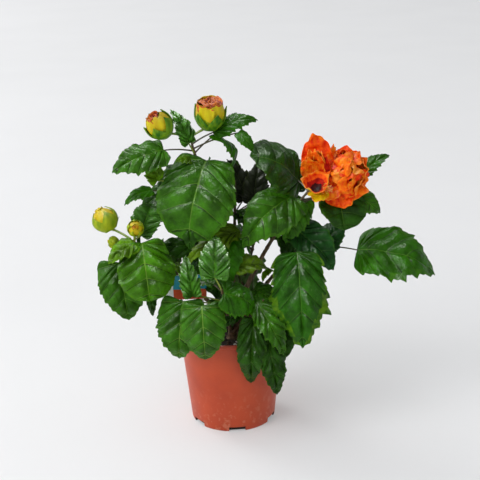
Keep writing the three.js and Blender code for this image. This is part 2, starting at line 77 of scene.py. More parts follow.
# Leaves
FOLD = 0.12
ARCH = 0.1
FRONT = 270
LEAF_TILT = 50
LEAF_THICK = 0.5
FIRST_VEIN = 0.6  # how far the first side vein lies from the foot, in vein spacings
PALMATE = 0.45  # the share of the rows of points that start from the end of the petiole
ROW_STEPS = (0, 0, 0.1, 0.22, 0.42, 0.52, 0.62, 0.82)  # the rows from one side vein to the next
TOOTH_HEIGHTS = (1, 1, 0.5, 0, 0.4, 0.45, 0.2, 0.75)  # and how far the toothed edge stands out at them
CROSS = (0, 0.02, 0.09, 0.18, 0.28, 0.39, 0.5, 0.61, 0.72, 0.82, 0.91, 1)  # columns, midrib to edge
SMALL_CROSS = (0, 0.03, 0.25, 0.5, 0.72, 0.88, 1)
LOBED_LENGTH = 85  # blades longer than this have a pointed lobe on each side
SMALL_LENGTH = 40  # blades shorter than this have fewer veins
# The depth of a tooth, of a lobe and of the swelling between veins, as shares of the blade's length
TOOTH_DEPTH = 0.05
LOBE_DEPTH = 0.08
QUILT = 0.05

# Where the leaves that fill the crown may lie, and the slits in it that stay open
CROWN_MIDDLE = (-8, 30, 208)
CROWN_RADII = (118, 112, 108)
LEAF_CLEARANCE = 5
CHANCE_SEED = 3
FILL_ROUNDS = 150
SPIRAL_TURN = 137.5
SLITS = ((-75, 244, 14), (8, 277, 11), (49, 214, 15), (108, 258, 15), (-47, 341, 18), (-9, 351, 18))
SLIT_SLOPE = math.tan(math.radians(19))

# The small young leaves in the axils of the others
AXIL_SEED = 5
AXIL_CLEARANCE = 2
AXIL_TURNS = (-70, 65)
AXIL_TONES = ("bright", "mid", "dark", "young", "mid")
BLOOM_MIDDLE = (122, -18, 303)
BLOOM_REACH = 45  # no small leaf grows nearer to the bloom than this

# A leaf leaves its shoot at a share of its length: turn, rise and reach give its petiole, head and
# droop the way that its blade runs, face the heading that its upper side looks to, and arch how far it
# bows. A shoot is bare up to a share of its length, and fill is how many leaves the rule adds to it
LEAF_FIELDS = "at turn rise reach head droop length width tone face arch"
Leaf = namedtuple("Leaf", LEAF_FIELDS, defaults=(FRONT, ARCH))
Bud = namedtuple("Bud", "at turn rise reach head lift length radius opening")
Shoot = namedtuple("Shoot", "name foot knee tip bare fill leaves buds", defaults=((),))

SHOOTS = [
    Shoot("front", (2, 0, 113), (-4, -38, 158), (-8, -76, 196), 0.45, 0, [
        Leaf(0.6, 232, 17, 46, 279, 77, 67, 54, "veined"),
        Leaf(0.55, 195, 15, 53, 246, 72, 70, 58, "veined"),
        Leaf(0.8, 270, 35, 18, 20, 31, 50, 42, "bright"),
        Leaf(0.9, 218, 62, 24, 80, -73, 48, 40, "crisp"),
        Leaf(0.65, 196, 18, 41, 128, -78, 48, 28, "crisp"),
    ]),
    Shoot("low_right", (2, 0, 108), (22, -25, 142), (40, -52, 172), 0.35, 0, [
        Leaf(0.65, 285, 44, 25, 321, 55, 69, 34, "mid"),
        Leaf(0.5, 280, 18, 37, 249, 77, 83, 38, "dark"),
        Leaf(0.4, 300, 2, 48, 313, 78, 80, 34, "dark"),
        Leaf(0.4, 342, 8, 48, 279, 72, 48, 30, "dark"),
        Leaf(0.65, 85, 39, 29, 330, 25, 44, 34, "mid"),
    ]),
    Shoot("left", (2, 0, 120), (-45, -2, 175), (-112, -38, 246), 0.45, 3, [
        Leaf(0.98, 33, 16, 12, 38, -66, 40, 38, "crisp"),
        Leaf(0.85, 251, 45, 26, 287, 67, 68, 68, "fresh"),
        Leaf(0.92, 244, 32, 16, 215, 25, 39, 28, "young"),
        Leaf(0.72, 190, 8, 53, 295, 72, 70, 60, "mid"),
        Leaf(0.5, 193, 6, 44, 269, 76, 41, 14, "dark"),
    ], [
        Bud(1, 165, 23, 25, 165, 60, 29, 14, 0.0),
        Bud(0.97, 330, 80, 16, 275, 25, 16, 8.5, 0.05),
        Bud(0.97, 171, -6, 19, 190, 15, 13, 6, 0.0),
    ]),
    Shoot("top_left", (0, 1, 138), (-8, 5, 215), (-40, -5, 356), 0.4, 6, [
        Leaf(0.94, 206, 10, 38, 203, 14, 65, 42, "mid", FRONT, 0.05),
        Leaf(0.92, 222, 60, 19, 198, -68, 43, 24, "crisp"),
        Leaf(0.97, 9, 26, 28, 0, -20, 53, 24, "bright"),
        Leaf(0.95, 355, 20, 56, 341, 49, 28, 16, "bright"),
        Leaf(0.93, 9, 42, 30, 335, 62, 51, 30, "bright", 0, 0.3),
        Leaf(0.88, 230, 38, 12, 209, -5, 21, 14, "young"),
        Leaf(0.75, 204, 20, 62, 217, -63, 36, 24, "young"),
        Leaf(0.7, 202, 19, 71, 206, 14, 36, 18, "bright"),
        Leaf(0.82, 192, 39, 19, 173, 34, 52, 34, "dark"),
        Leaf(0.78, 298, 73, 34, 246, 50, 94, 94, "mid"),
        Leaf(0.52, 225, 49, 25, 200, -16, 60, 34, "dark"),
        Leaf(0.62, 159, 25, 60, 197, 25, 37, 32, "dark"),
    ], [
        Bud(1, 197, 12, 28, 222, 52, 33, 15, 0.3),
        Bud(1, 12, 20, 25, 282, 78, 36, 17, 0.9),
    ]),
    Shoot("bloom", (2, 0, 124), (45, 0, 235), (104, -14, 300), 0.5, 3, [
        Leaf(0.92, 115, 16, 25, 206, -37, 70, 76, "dark"),
        Leaf(0.8, 85, 21, 26, 110, -77, 48, 26, "dark"),
        Leaf(0.66, 6, 72, 33, 217, 25, 82, 66, "mid"),
        Leaf(0.74, 27, 41, 22, 227, 53, 57, 38, "mid"),
        Leaf(0.8, 5, 16, 49, 284, 49, 47, 64, "dark"),
        Leaf(0.84, 5, 5, 58, 337, 27, 43, 34, "mid"),
        Leaf(0.9, 23, 9, 68, 14, -32, 48, 24, "bright"),
    ]),
    Shoot("right", (2, 0, 116), (50, 5, 180), (92, 8, 222), 0.5, 3, [
        Leaf(0.92, 2, -6, 70, 348, 9, 98, 74, "bright"),
        Leaf(0.98, 236, 52, 25, 330, 39, 64, 50, "blue"),
        Leaf(0.95, 352, -9, 20, 8, -38, 43, 38, "blue"),
        Leaf(0.84, 272, 20, 45, 275, 69, 113, 68, "turning"),
        Leaf(0.68, 351, 51, 12, 180, -77, 30, 20, "dark"),
    ]),
    Shoot("centre", (1, 0, 132), (8, 12, 220), (10, 22, 296), 0.3, 8, [
        Leaf(0.56, 284, 35, 30, 205, 19, 76, 30, "olive"),
        Leaf(0.44, 191, 16, 34, 194, -9, 63, 30, "dark"),
        Leaf(0.35, 274, 18, 39, 7, -1, 39, 30, "olive"),
        # the next three leaves are painted shade: they take the dark grey of a leaf underside in shade
        Leaf(0.74, 64, 17, 33, 217, -65, 60, 30, "grey"),
        Leaf(0.74, 30, 18, 28, 45, -80, 50, 34, "grey"),
        Leaf(0.78, 251, 70, 10, 215, -59, 34, 20, "grey"),
    ]),
    Shoot("back_left", (2, 0, 117), (-22, 32, 170), (-45, 58, 235), 0.4, 11, []),
    Shoot("back_right", (2, 0, 128), (24, 36, 175), (38, 62, 235), 0.4, 11, []),
]
FILL_TONES = ("dark", "mid", "blue", "dark", "bright", "mid")

# Buds
CLOSED = 0.2  # buds that are less open than this have lime sepals and a yellow tip
SMALL_BUD = 7  # buds of a smaller radius stay lime
SEPALS = 5  # and as many outer petals
BRACTS = 7
SEPAL_THICK = 0.6
BRACT_THICK = 0.5

# The bloom: lobes of petals, each round an eye, a dark-eyed funnel before them and a mass of ruffles
# A petal's end is blunt where its power is high, and round where it is low
Petal = namedtuple("Petal", "head rise length width tone arch folds power", defaults=(-0.12, 1.6, 4))
Lobe = namedtuple("Lobe", "eye face petals")
LOBES = [
    Lobe((107, -18, 299), (255, 15), [
        Petal(172, 86, 58, 38, "flame", -0.05, 1.5),
        Petal(208, 60, 37, 26, "orange", -0.12, 2.2),
        Petal(222, 74, 44, 24, "orange", -0.1, 2.4),
        Petal(262, 80, 42, 15, "amber", -0.14, 1.2),
        Petal(20, 65, 47, 15, "orange", 0.1, 1.2),
        Petal(310, 76, 36, 22, "deep", -0.1, 1.4),
        Petal(95, 42, 28, 26, "orange"),
    ]),
    Lobe((104, -24, 292), (285, 75), [Petal(274, -10, 22, 25, "yellow", 0.05, 1.6)]),
    Lobe((122, -17, 301), (255, 15), [
        Petal(8, 58, 44, 42, "flame", -0.06, 1.8),
        Petal(0, 36, 45, 44, "flame", -0.06, 1.8),
        Petal(345, -4, 41, 42, "orange", 0.05, 1.8),
        Petal(318, -42, 34, 38, "flame", 0.1, 1.2),
        Petal(275, -38, 24, 28, "orange", 0.1, 1.6),
        Petal(60, 20, 34, 38, "flame"),
        Petal(100, 55, 36, 38, "orange"),
        Petal(80, -30, 30, 38, "orange"),
    ]),
]
PETAL_THICK = 0.6
PETAL_RUFFLE = 2.2
PETAL_GRID = (34, 39)
THROAT = 0.22  # the share of a petal that is deep in colour
RUFFLES = dict(
    middle=(141, -18, 309.5), radii=(14, 16, 22), heart=0.5, count=42,
    length=19, width=23, lean=44, arch=0.22, depth=1.5, grid=(12, 17),
)
RUFFLE_TONES = ("orange", "flame", "orange", "amber", "flame", "orange", "amber")
FUNNEL = dict(middle=(102, -38, 308.5), radius=14.3, depth=15, head=262, rise=54)
FUNNEL_TONES = ("eye", "deep", "flame", "orange", "amber")
FUNNEL_BANDS = (0.22, 0.5, 0.78, 0.95)  # where one tone gives way to the next on the way out
STAMENS = dict(count=22, foot=(8, 4, -8), head=285, rise=12, length=13, spread=0.8)
CALYX = Bud(1, 0, 0, 0, 335, 12, 20, 8, 0.6)
CALYX_FOOT = (100, -9, 297)

# Colours, in 0 to 255 steps
# The grey tone is painted shade: the dull dark grey of a leaf underside seen in shade
LEAF_TONES = dict(
    young=(90, 136, 12), bright=(46, 102, 4), mid=(54, 104, 16), dark=(36, 74, 10),
    blue=(28, 72, 24), crisp=(64, 118, 28), olive=(90, 122, 18), grey=(46, 52, 36),
    turning=(42, 92, 16), fresh=(66, 120, 14), veined=(54, 104, 18),
)
YELLOW_STALKS = ("young", "crisp", "olive", "fresh", "veined")
PALE_VEINS = dict(veined=0.6, fresh=0.45, mid=0.34)
PALE_MARGINS = dict(turning=0.4)
WRINKLED = dict(crisp=1.9, young=1.9, fresh=1.5, bright=0.7)  # how much more than the rest, or less
TEETH = dict(dark=0.45)  # how much smaller than the rest
VEIN_GREEN = (160, 188, 84)
UNDER_GREEN = (112, 138, 84)
MARGIN_GREEN = (168, 196, 30)
PETAL_TONES = dict(
    flame=((222, 34, 0), (252, 104, 12)), orange=((240, 78, 0), (255, 144, 20)),
    amber=((244, 118, 14), (255, 172, 60)), yellow=((236, 186, 10), (226, 206, 24)),
    deep=((140, 4, 2), (196, 30, 4)), eye=((30, 2, 4), (74, 6, 6)),
)
CARD_TONES = dict(
    pale=((240, 244, 246), (246, 248, 249)), blue=((24, 142, 168), (30, 150, 176)),
    orange=((204, 72, 30), (212, 80, 34)), white=((234, 236, 236), (240, 241, 241)),
)
PETAL_EDGES = dict(flame="orange", deep="flame")  # the tone of their edge, where it isn't amber

# The studio, in metres, and the camera
FLOOR = dict(flat=6.5, curve=2.0, rise=1.0, sides=96)
FLOOR_GLOW = 0.25  # a little light from the floor itself keeps the shadows on it pale
WORLD = dict(left=1.13, right=0.02, colour=(0.96, 0.98, 1.0, 1))
Light = namedtuple("Light", "name place size power target gloss_only", defaults=((0, 0, 0.2), False))
LIGHTS = [
    Light("key", (-1.25, -0.9, 1.5), 1.3, 18.5),
    Light("top", (-0.8, 0.4, 2.8), 2.6, 9),
    Light("backdrop", (-3.5, 4.0, 3.0), 3.0, 100, (0, 3.5, 0)),
    Light("side", (-1.7, 1.5, 1.2), 1.0, 5, (-0.6, 1.2, 0)),
    Light("sheen", (-0.35, -0.2, 2.2), 0.9, 150, gloss_only=True),
]
CAMERA = dict(lens=80, sensor=36, pitch=19, roll=-1.6, target=(14, 0, 228), distance=1270)


def chance_from(seed):
    """The same run of numbers between 0 and 1 each time."""
    state = seed
    while True:
        state = state * 48271 % 2147483647
        yield state / 2147483647


def unit(vector):
    return vector / (np.linalg.norm(vector, axis=-1, keepdims=True) + 1e-12)


def compass(heading, rise):
    heading, rise = math.radians(heading), math.radians(rise)
    level = math.cos(rise)
    return np.array([level * math.cos(heading), level * math.sin(heading), math.sin(rise)])


def bent_line(points, share):
    """Places on the curve from the first point to the last that the middle one draws aside."""
    foot, knee, tip = (np.asarray(point, float) for point in points)
    share = np.asarray(share, float)[..., None]
    return (1 - share) ** 2 * foot + 2 * share * (1 - share) * knee + share ** 2 * tip


def on_shoot(shoot, share):
    return bent_line((shoot.foot, shoot.knee, shoot.tip), share)


def shoot_radius(share):
    return BOUGH_RADIUS + (TIP_RADIUS - BOUGH_RADIUS) * share


# The plant's rule: where every leaf grows

def blade_frame(chord, facing):
    """Along a blade, to its right and out of its upper face, which turns as far as it can to facing."""
    side = unit(np.cross(chord, facing))
    return chord, side, unit(np.cross(side, chord))


def leaf_frame(leaf):
    return blade_frame(compass(leaf.head, -leaf.droop), compass(leaf.face, LEAF_TILT))


def oval_width(share):
    return 2.31 * share ** 0.45 * (1 - share) ** 0.85


def round_width(share):
    return 1.97 * share ** 0.5 * (1 - share) ** 0.48


def leaf_base(shoot, leaf):
    return on_shoot(shoot, leaf.at) + compass(leaf.turn, leaf.rise) * leaf.reach


def blade_point(base, axes, leaf, share, reach):
    chord, side, normal = axes
    lift = 4 * leaf.arch * leaf.length * share * (1 - share) + FOLD * abs(reach)
    return base + chord * leaf.length * share + side * reach + normal * lift


def leaf_samples(shoot, leaf):
    base, axes = leaf_base(shoot, leaf), leaf_frame(leaf)
    stem = on_shoot(shoot, leaf.at)
    samples = [stem + (base - stem) * share for share in (0.45, 0.65, 0.85)]
    for share in (0, 0.15, 0.3, 0.45, 0.6, 0.75, 0.9, 1):
        for across in (-1, -0.5, 0, 0.5, 1):
            reach = across * leaf.width / 2 * oval_width(share)
            samples.append(blade_point(base, axes, leaf, share, reach))
    return np.array(samples)


def label_samples():
    return np.array([
        (LABEL["x"] + across * LABEL["width"], LABEL["y"], LABEL["middle"] + above * LABEL["height"])
        for across in (-0.5, -0.25, 0, 0.25, 0.5) for above in (-0.5, 0, 0.5)
    ])


def is_clear(samples, taken, clearance=LEAF_CLEARANCE):
    inside = (((samples - CROWN_MIDDLE) / CROWN_RADII) ** 2).sum(axis=1) < 1
    if not inside.all():
        return False
    height = samples[:, 2] + samples[:, 1] * SLIT_SLOPE
    if any((np.hypot(samples[:, 0] - x, height - z) < radius).any() for x, z, radius in SLITS):
        return False
    apart = np.linalg.norm(samples[:, None] - taken[None], axis=2)
    return apart.min() > clearance


def chance_leaf(shoot, turn, chance, tone):
    """One leaf of ordinary size somewhere on the shoot, pointing roughly as its petiole does."""
    length = 55 + 30 * next(chance)
    at = shoot.bare + 0.08 + (0.9 - shoot.bare) * next(chance)
    rise = 10 + 40 * next(chance)
    reach = 18 + 30 * next(chance)
    head = turn + 50 * (next(chance) - 0.5)
    droop = 10 + 65 * next(chance)
    width = length * (0.6 + 0.25 * next(chance))
    return Leaf(at, turn, rise, reach, head, droop, length, width, tone, turn)


def fill_leaves():
    """Adds the leaves that fill the crown: a spiral up each shoot with a little chance in it."""
    chance = chance_from(CHANCE_SEED)
    taken = np.concatenate([
        *(leaf_samples(shoot, leaf) for shoot in SHOOTS for leaf in shoot.leaves),
        *(on_shoot(shoot, np.linspace(0, 1, 41)) for shoot in SHOOTS),
        label_samples(),
    ])
    wanted = {shoot.name: len(shoot.leaves) + shoot.fill for shoot in SHOOTS}
    turns = {shoot.name: 90 for shoot in SHOOTS}
    for _ in range(FILL_ROUNDS):
        for shoot in SHOOTS:
            if len(shoot.leaves) == wanted[shoot.name]:
                continue
            turns[shoot.name] = (turns[shoot.name] + SPIRAL_TURN) % 360
            tone = FILL_TONES[len(shoot.leaves) % len(FILL_TONES)]
            leaf = chance_leaf(shoot, turns[shoot.name], chance, tone)
            samples = leaf_samples(shoot, leaf)
            if is_clear(samples, taken):
                taken = np.concatenate([taken, samples])
                shoot.leaves.append(leaf)
    fill_axils(taken)


def fill_axils(taken):
    """Small young leaves where the big ones leave their shoot, wherever there is room for them."""
    chance = chance_from(AXIL_SEED)
    for shoot in SHOOTS:
        for place, leaf in enumerate(list(shoot.leaves)):
            for aside in AXIL_TURNS:
                turn = leaf.turn + aside + 30 * (next(chance) - 0.5)
                length = 15 + 20 * next(chance)
                reach, droop = 6 + 10 * next(chance), 50 * next(chance) - 10
                tone = AXIL_TONES[(place + len(shoot.leaves)) % len(AXIL_TONES)]
                young = Leaf(leaf.at, turn, 35, reach, turn, droop, length, 0.7 * length, tone, turn)
                samples = leaf_samples(shoot, young)
                from_bloom = np.linalg.norm(samples - BLOOM_MIDDLE, axis=1).min()
                if from_bloom > BLOOM_REACH and is_clear(samples, taken, AXIL_CLEARANCE):
                    taken = np.concatenate([taken, samples])
                    shoot.leaves.append(young)


# Meshes

def shown(name, data):
    """A new object in the scene, with a mesh, a light or a camera in it."""
    thing = bpy.data.objects.new(name, data)
    bpy.context.scene.collection.objects.link(thing)
    return thing


class Pile:
    """The points, faces and face materials that are gathered for one piece."""

    def __init__(self, materials):
        self.materials = list(materials)
        self.points, self.faces, self.kinds = [], [], []
        self.count = 0

    def add(self, points, faces, kinds):
        points = np.asarray(points, float).reshape(-1, 3)
        self.points.append(points)
        self.faces += [tuple(corner + self.count for corner in face) for face in faces]
        self.kinds += [kinds] * len(faces) if isinstance(kinds, int) else list(kinds)
        self.count += len(points)

    def add_sheet(self, top, thickness, upper, lower, rim):
        """A thin sheet under a grid of points. Upper is one kind, or one for each face of the grid."""
        points, upper_faces, lower_faces, rim_faces = sheet(top, thickness)
        kinds = np.broadcast_to(upper, (top.shape[0] - 1, top.shape[1] - 1)).ravel().tolist()
        kinds += [lower] * len(lower_faces) + [rim] * len(rim_faces)
        self.add(points, upper_faces + lower_faces + rim_faces, kinds)

    def piece(self, name, slot, *nodes, crease=60):
        """One object from all that was gathered, which takes the place of the nodes."""
        mesh = bpy.data.meshes.new(name)
        mesh.from_pydata((np.concatenate(self.points) * MM).tolist(), [], self.faces)
        for material in self.materials:
            mesh.materials.append(material)
        mesh.polygons.foreach_set("material_index", self.kinds)
        mesh.polygons.foreach_set("use_smooth", [True] * len(self.faces))
        mesh.set_sharp_from_angle(angle=math.radians(crease))
        mesh.update()
        thing = shown(name, mesh)
        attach(thing, BODY)
        if nodes:
            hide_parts(*nodes)
        return thing


def grid_quads(index):
    corners = (index[:-1, :-1], index[1:, :-1], index[1:, 1:], index[:-1, 1:])
    return np.stack(corners, axis=-1).reshape(-1, 4)


def ring_faces(rings, sides):
    """The faces of a closed body of rings of points, with a cap at each end."""
    index = np.arange(rings * sides).reshape(rings, sides)
    wrapped = np.concatenate([index, index[:, :1]], axis=1)
    return grid_quads(wrapped)[:, ::-1].tolist() + [index[0, ::-1].tolist(), index[-1].tolist()]


def shares_of(rows, columns):
    """Shares from 0 to 1 down the rows of a grid and from 1 to -1 across its columns."""
    return np.linspace(0, 1, rows)[:, None], np.linspace(1, -1, columns)[None, :]


def laid_out(base, axes, along, aside, out):
    """Points at distances from a base along each of three axes."""
    return base + axes[0] * along[..., None] + axes[1] * aside[..., None] + axes[2] * out[..., None]


def round_axis(base, axis, place, angle, radius):
    """Points round an axis: how far along it, at what angle and how far out."""
    side = unit(np.cross(axis, (0.3, 0.2, 1)))
    axes = (axis, side, np.cross(axis, side))
    return laid_out(base, axes, place + 0 * angle, radius * np.cos(angle), radius * np.sin(angle))


def round_points(profile, sides):
    """A ring of points about the pot's axis for each pair of radius and height."""
    angles = np.arange(sides) / sides * 2 * math.pi
    return [(r * math.cos(a), r * math.sin(a), z) for r, z in profile for a in angles]


def sheet(top, thickness):
    """A closed thin sheet under a grid of points: its points, then its upper, lower and rim faces."""
    rows, columns = top.shape[:2]
    out = unit(np.cross(np.gradient(top, axis=0), np.gradient(top, axis=1)))
    index = np.arange(rows * columns).reshape(rows, columns)
    below = rows * columns
    edge = np.concatenate([index[0, :-1], index[:-1, -1], index[-1, :0:-1], index[:0:-1, 0]])
    following = np.roll(edge, -1)
    rim = np.stack([edge, following, following + below, edge + below], axis=-1)
    points = np.concatenate([top.reshape(-1, 3), (top - out * thickness).reshape(-1, 3)])
    upper = grid_quads(index)
    lower = grid_quads(index + below)[:, ::-1]
    return points, upper.tolist(), lower.tolist(), rim.tolist()


def tube(centres, radii, sides):
    """A round limb through the centres, with a radius for each centre or for each side of it too."""
    centres = np.asarray(centres, float)
    radii = np.asarray(radii, float)
    if radii.ndim == 1:
        radii = np.repeat(radii[:, None], sides, axis=1)
    ahead = unit(np.gradient(centres, axis=0))
    across = unit(np.cross(ahead[0], (0, 1, 0) if abs(ahead[0][1]) < 0.7 else (1, 0, 0)))
    angles = np.arange(sides) / sides * 2 * math.pi
    rings = []
    for centre, forward, radius in zip(centres, ahead, radii):
        across = unit(across - forward * np.dot(across, forward))
        up = np.cross(forward, across)
        spokes = np.cos(angles)[:, None] * across + np.sin(angles)[:, None] * up
        rings.append(centre + radius[:, None] * spokes)
    return np.concatenate(rings), ring_faces(len(centres), sides)


# Materials

def linear(colour):
    """A colour given in 0 to 255 steps, as the shader wants it."""
    steps = [value / 255 for value in colour]
    return (*(s / 12.92 if s <= 0.04045 else ((s + 0.055) / 1.055) ** 2.4 for s in steps), 1.0)


def shaded(colour, factor):
    return tuple(min(255, value * factor) for value in colour)


def new_node(material, kind, numbers=None, links=None):
    """A node with numbers in some of its sockets and links into others."""
    node = material.node_tree.nodes.new(kind)
    for name, number in (numbers or {}).items():
        node.inputs[name].default_value = number
    for name, source in (links or {}).items():
        material.node_tree.links.new(source, node.inputs[name])
    return node


def noise_field(material, place, size, detail):
    """A noise texture whose patches have a size in mm."""
    numbers = {"Scale": 1 / (size * MM), "Detail": detail}
    return new_node(material, "ShaderNodeTexNoise", numbers, {"Vector": place}).outputs["Fac"]


def ranged(material, value, low, high, to_low, to_high):
    """The value, moved from one range into another and kept inside it."""
    numbers = {"From Min": low, "From Max": high, "To Min": to_low, "To Max": to_high}
    return new_node(material, "ShaderNodeMapRange", numbers, {"Value": value}).outputs["Result"]


def relief(material, height, depth, strength, under=None):
    """A bump of a depth in mm, on top of another one where that is given."""
    links = {"Height": height, "Normal": under} if under else {"Height": height}
    numbers = {"Strength": strength, "Distance": depth * MM}
    return new_node(material, "ShaderNodeBump", numbers, links).outputs["Normal"]


def surface(
    name, colour, other, patch, roughness, *, grain=2.0, bump=0.2, specular=0.5, stretch=1.0, net=0,
):
    """A material whose colour drifts between two over patches of a size, with a relief of a fine grain
    and a net of cells where that has a size too, all in mm."""
    material = bpy.data.materials.new(name)
    material.use_nodes = True
    links = material.node_tree.links
    shader = material.node_tree.nodes["Principled BSDF"]
    shader.inputs["Roughness"].default_value = roughness
    shader.inputs["Specular IOR Level"].default_value = specular
    place = new_node(material, "ShaderNodeTexCoord").outputs["Object"]
    squeeze = {"Scale": (1, 1, 1 / stretch)}
    spot = new_node(material, "ShaderNodeMapping", squeeze, {"Vector": place}).outputs["Vector"]
    patches = noise_field(material, spot, patch, 4)
    ramp = new_node(material, "ShaderNodeValToRGB", links={"Fac": patches})
    low, high = ramp.color_ramp.elements
    low.position, low.color = 0.35, linear(colour)
    high.position, high.color = 0.65, linear(other)
    links.new(ramp.outputs["Color"], shader.inputs["Base Color"])
    normal = relief(material, noise_field(material, spot, grain, 5), grain / 2, bump)
    if net:
        mesh_width = {"Scale": 1 / (net * MM)}
        cells = new_node(material, "ShaderNodeTexVoronoi", mesh_width, {"Vector": spot})
        cells.feature = "DISTANCE_TO_EDGE"
        normal = relief(material, cells.outputs["Distance"], net / 4, 0.35, normal)
    links.new(normal, shader.inputs["Normal"])
    return material


def mixed(colour, other, share):
    return tuple((1 - share) * own + share * new for own, new in zip(colour, other))


def leaf_materials(tone, colour):
    """The upper side of a leaf of a tone, its veins, underside, margin and a darker copy of its colour
    that is painted shade in the furrow beside each vein.
    """
    vein = mixed(colour, VEIN_GREEN, PALE_VEINS.get(tone, 0.24))
    under = mixed(colour, UNDER_GREEN, 0.4)
    margin = mixed(colour, MARGIN_GREEN, PALE_MARGINS.get(tone, 0.12))
    skin = dict(net=2.4, specular=0.3 if tone == "crisp" else 0.1)
    upper = dict(grain=3, bump=1.0) if WRINKLED.get(tone, 1) > 1 else dict(grain=6, bump=0.75)
    rib = dict(grain=1.6, bump=0.1, specular=0.14)
    parts = (
        ("leaf", shaded(colour, 0.76), shaded(colour, 1.16), 18, 0.33, upper | skin),
        ("vein", shaded(vein, 0.94), shaded(vein, 1.06), 14, 0.4, rib),
        ("under", shaded(under, 0.9), shaded(under, 1.05), 10, 0.6, dict(grain=1.2, bump=0.3) | skin),
        ("margin", shaded(colour, 0.9), margin, 8, 0.35, dict(grain=3, bump=0.3) | skin),
        # painted shade: the furrow is the leaf's own colour darkened, for the shaded side of each
        # vein's furrow
        ("furrow_shade", shaded(colour, 0.56), shaded(colour, 0.95), 9, 0.4, dict(grain=5, bump=0.5) | skin),
    )
    return [surface(f"{part}_{tone}", *looks, **fine) for part, *looks, fine in parts]


LEAF_FINISH = {tone: leaf_materials(tone, colour) for tone, colour in LEAF_TONES.items()}
BARK = surface("bark", (86, 66, 46), (128, 104, 78), 3, 0.85, grain=0.9, bump=0.8, stretch=2.5)
TWIG_ORDER = [
    surface("young_bark", (70, 66, 30), (98, 70, 38), 4, 0.6, grain=0.8, bump=0.4, stretch=2),
    surface("petiole", (66, 46, 26), (70, 72, 30), 8, 0.5, grain=0.8, bump=0.2),
    surface("young_petiole", (150, 164, 52), (120, 150, 48), 8, 0.5, grain=0.8, bump=0.2),
]
STEM, STALK, YOUNG_STALK = range(3)


# Leaves, twigs and limbs

LEAF, VEIN, UNDER, MARGIN, FURROW_SHADE = range(5)
Grid = namedtuple("Grid", "place edge teeth swell across out kinds")


def blade_grid(veins, cross, margin):
    """Rows of points along the side veins of a blade and columns across it. A row knows which side of a
    vein it is, its tooth and how far the blade swells there. The margin widens towards the tip."""
    rows = [(0, 0, 0, 0), (0.03, 0, 0.1, 0.2), (0.06, 0, 0.5, 0.3)]
    for vein in range(veins):
        for step, (offset, tooth) in enumerate(zip(ROW_STEPS, TOOTH_HEIGHTS)):
            edge = (-1, 1)[step] if step < 2 else 0
            rows.append(((vein + FIRST_VEIN + offset) / veins, edge, tooth, math.sin(math.pi * offset)))
    rows = sorted(row for row in rows if row[0] < 0.985) + [(1, 0, 0, 0)]
    place, edge, teeth, swell = (column[:, None] for column in np.array(rows).T)
    across = np.array([*cross[:0:-1], *(-value for value in cross)])[None, :]
    out = np.abs(across)
    outer = np.maximum(out[:, :-1], out[:, 1:])
    kinds = np.where(outer > 1.001 - margin * place[:-1] ** 2, MARGIN, LEAF)
    # painted shade: the rows on one side of each side vein take the darker furrow colour
    kinds[(edge[:-1] > 0) & (kinds == LEAF)] = FURROW_SHADE
    kinds[edge[:-1, 0] < 0] = VEIN
    middle = across.size // 2
    kinds[:, middle - 1:middle + 1] = VEIN
    return Grid(place, edge, teeth, swell, across, out, kinds)


SMALL_BLADE = blade_grid(5, SMALL_CROSS, 0.12)
LARGE_BLADE = blade_grid(7, CROSS, 0.1)
LOBED_BLADE = blade_grid(7, CROSS, 0.32)


def vein_gap(grid):
    """How far the rows beside a vein lie from its middle: it thins out towards the blade's edge."""
    taper = 1 - 0.7 * grid.out
    from_foot = np.minimum(0.008, 0.003 * taper / np.maximum(grid.out, 0.1))
    return grid.edge * np.where(grid.place < PALMATE, from_foot, 0.002 * taper)


def blade_outline(leaf, grid, depth):
    """For the points of a blade, shares of its length and distances from its midrib."""
    row = np.clip(grid.place + vein_gap(grid), 0, 1)
    along = row ** 1.15
    shape = round_width if leaf.width > 0.92 * leaf.length else oval_width
    half = leaf.width / 2 * shape(along)
    grow = np.clip((row - 0.1) / 0.4, 0, 1) * (1 - 0.5 * row ** 3)
    stand = depth * leaf.length * (grid.teeth - 0.5) * grow
    if grid is LOBED_BLADE:
        point = np.interp(row, (0.36, 0.655, 0.72), (0, 1, 0)) - 0.3 * (row > 0.25) * (row < 0.7)
        stand = stand + LOBE_DEPTH * leaf.length * point
    half = np.maximum(0.5, half + stand * grid.out ** 5)
    from_midrib = 0.02 + 0.96 * np.clip((row - PALMATE) / (1 - PALMATE), 0, 1) ** 1.1
    start = np.where(row < PALMATE, 0.02 * row / PALMATE, from_midrib)
    heart = 0.1 if grid is LOBED_BLADE else 0.14 if shape is round_width else 0.2
    heart = heart * min(1, leaf.width / leaf.length) * np.sin(math.pi * np.clip(row / 0.32, 0, 1))
    share = start + (along - heart - start) * grid.out ** 1.15
    share = share + 0.6 * stand / leaf.length * grid.out ** 5
    return share, np.sign(grid.across) * grid.out * half


def crumple(points, size):
    """Smooth noise from -1 to 1 at every point, whose folds have a size in mm."""
    flat = [noise.noise(Vector(point / size)) for point in points.reshape(-1, 3)]
    return np.array(flat).reshape(points.shape[:-1])


def leaf_grid(leaf):
    if leaf.length < SMALL_LENGTH:
        return SMALL_BLADE
    lobed = leaf.length > LOBED_LENGTH and leaf.width < 0.8 * leaf.length
    return LOBED_BLADE if lobed else LARGE_BLADE


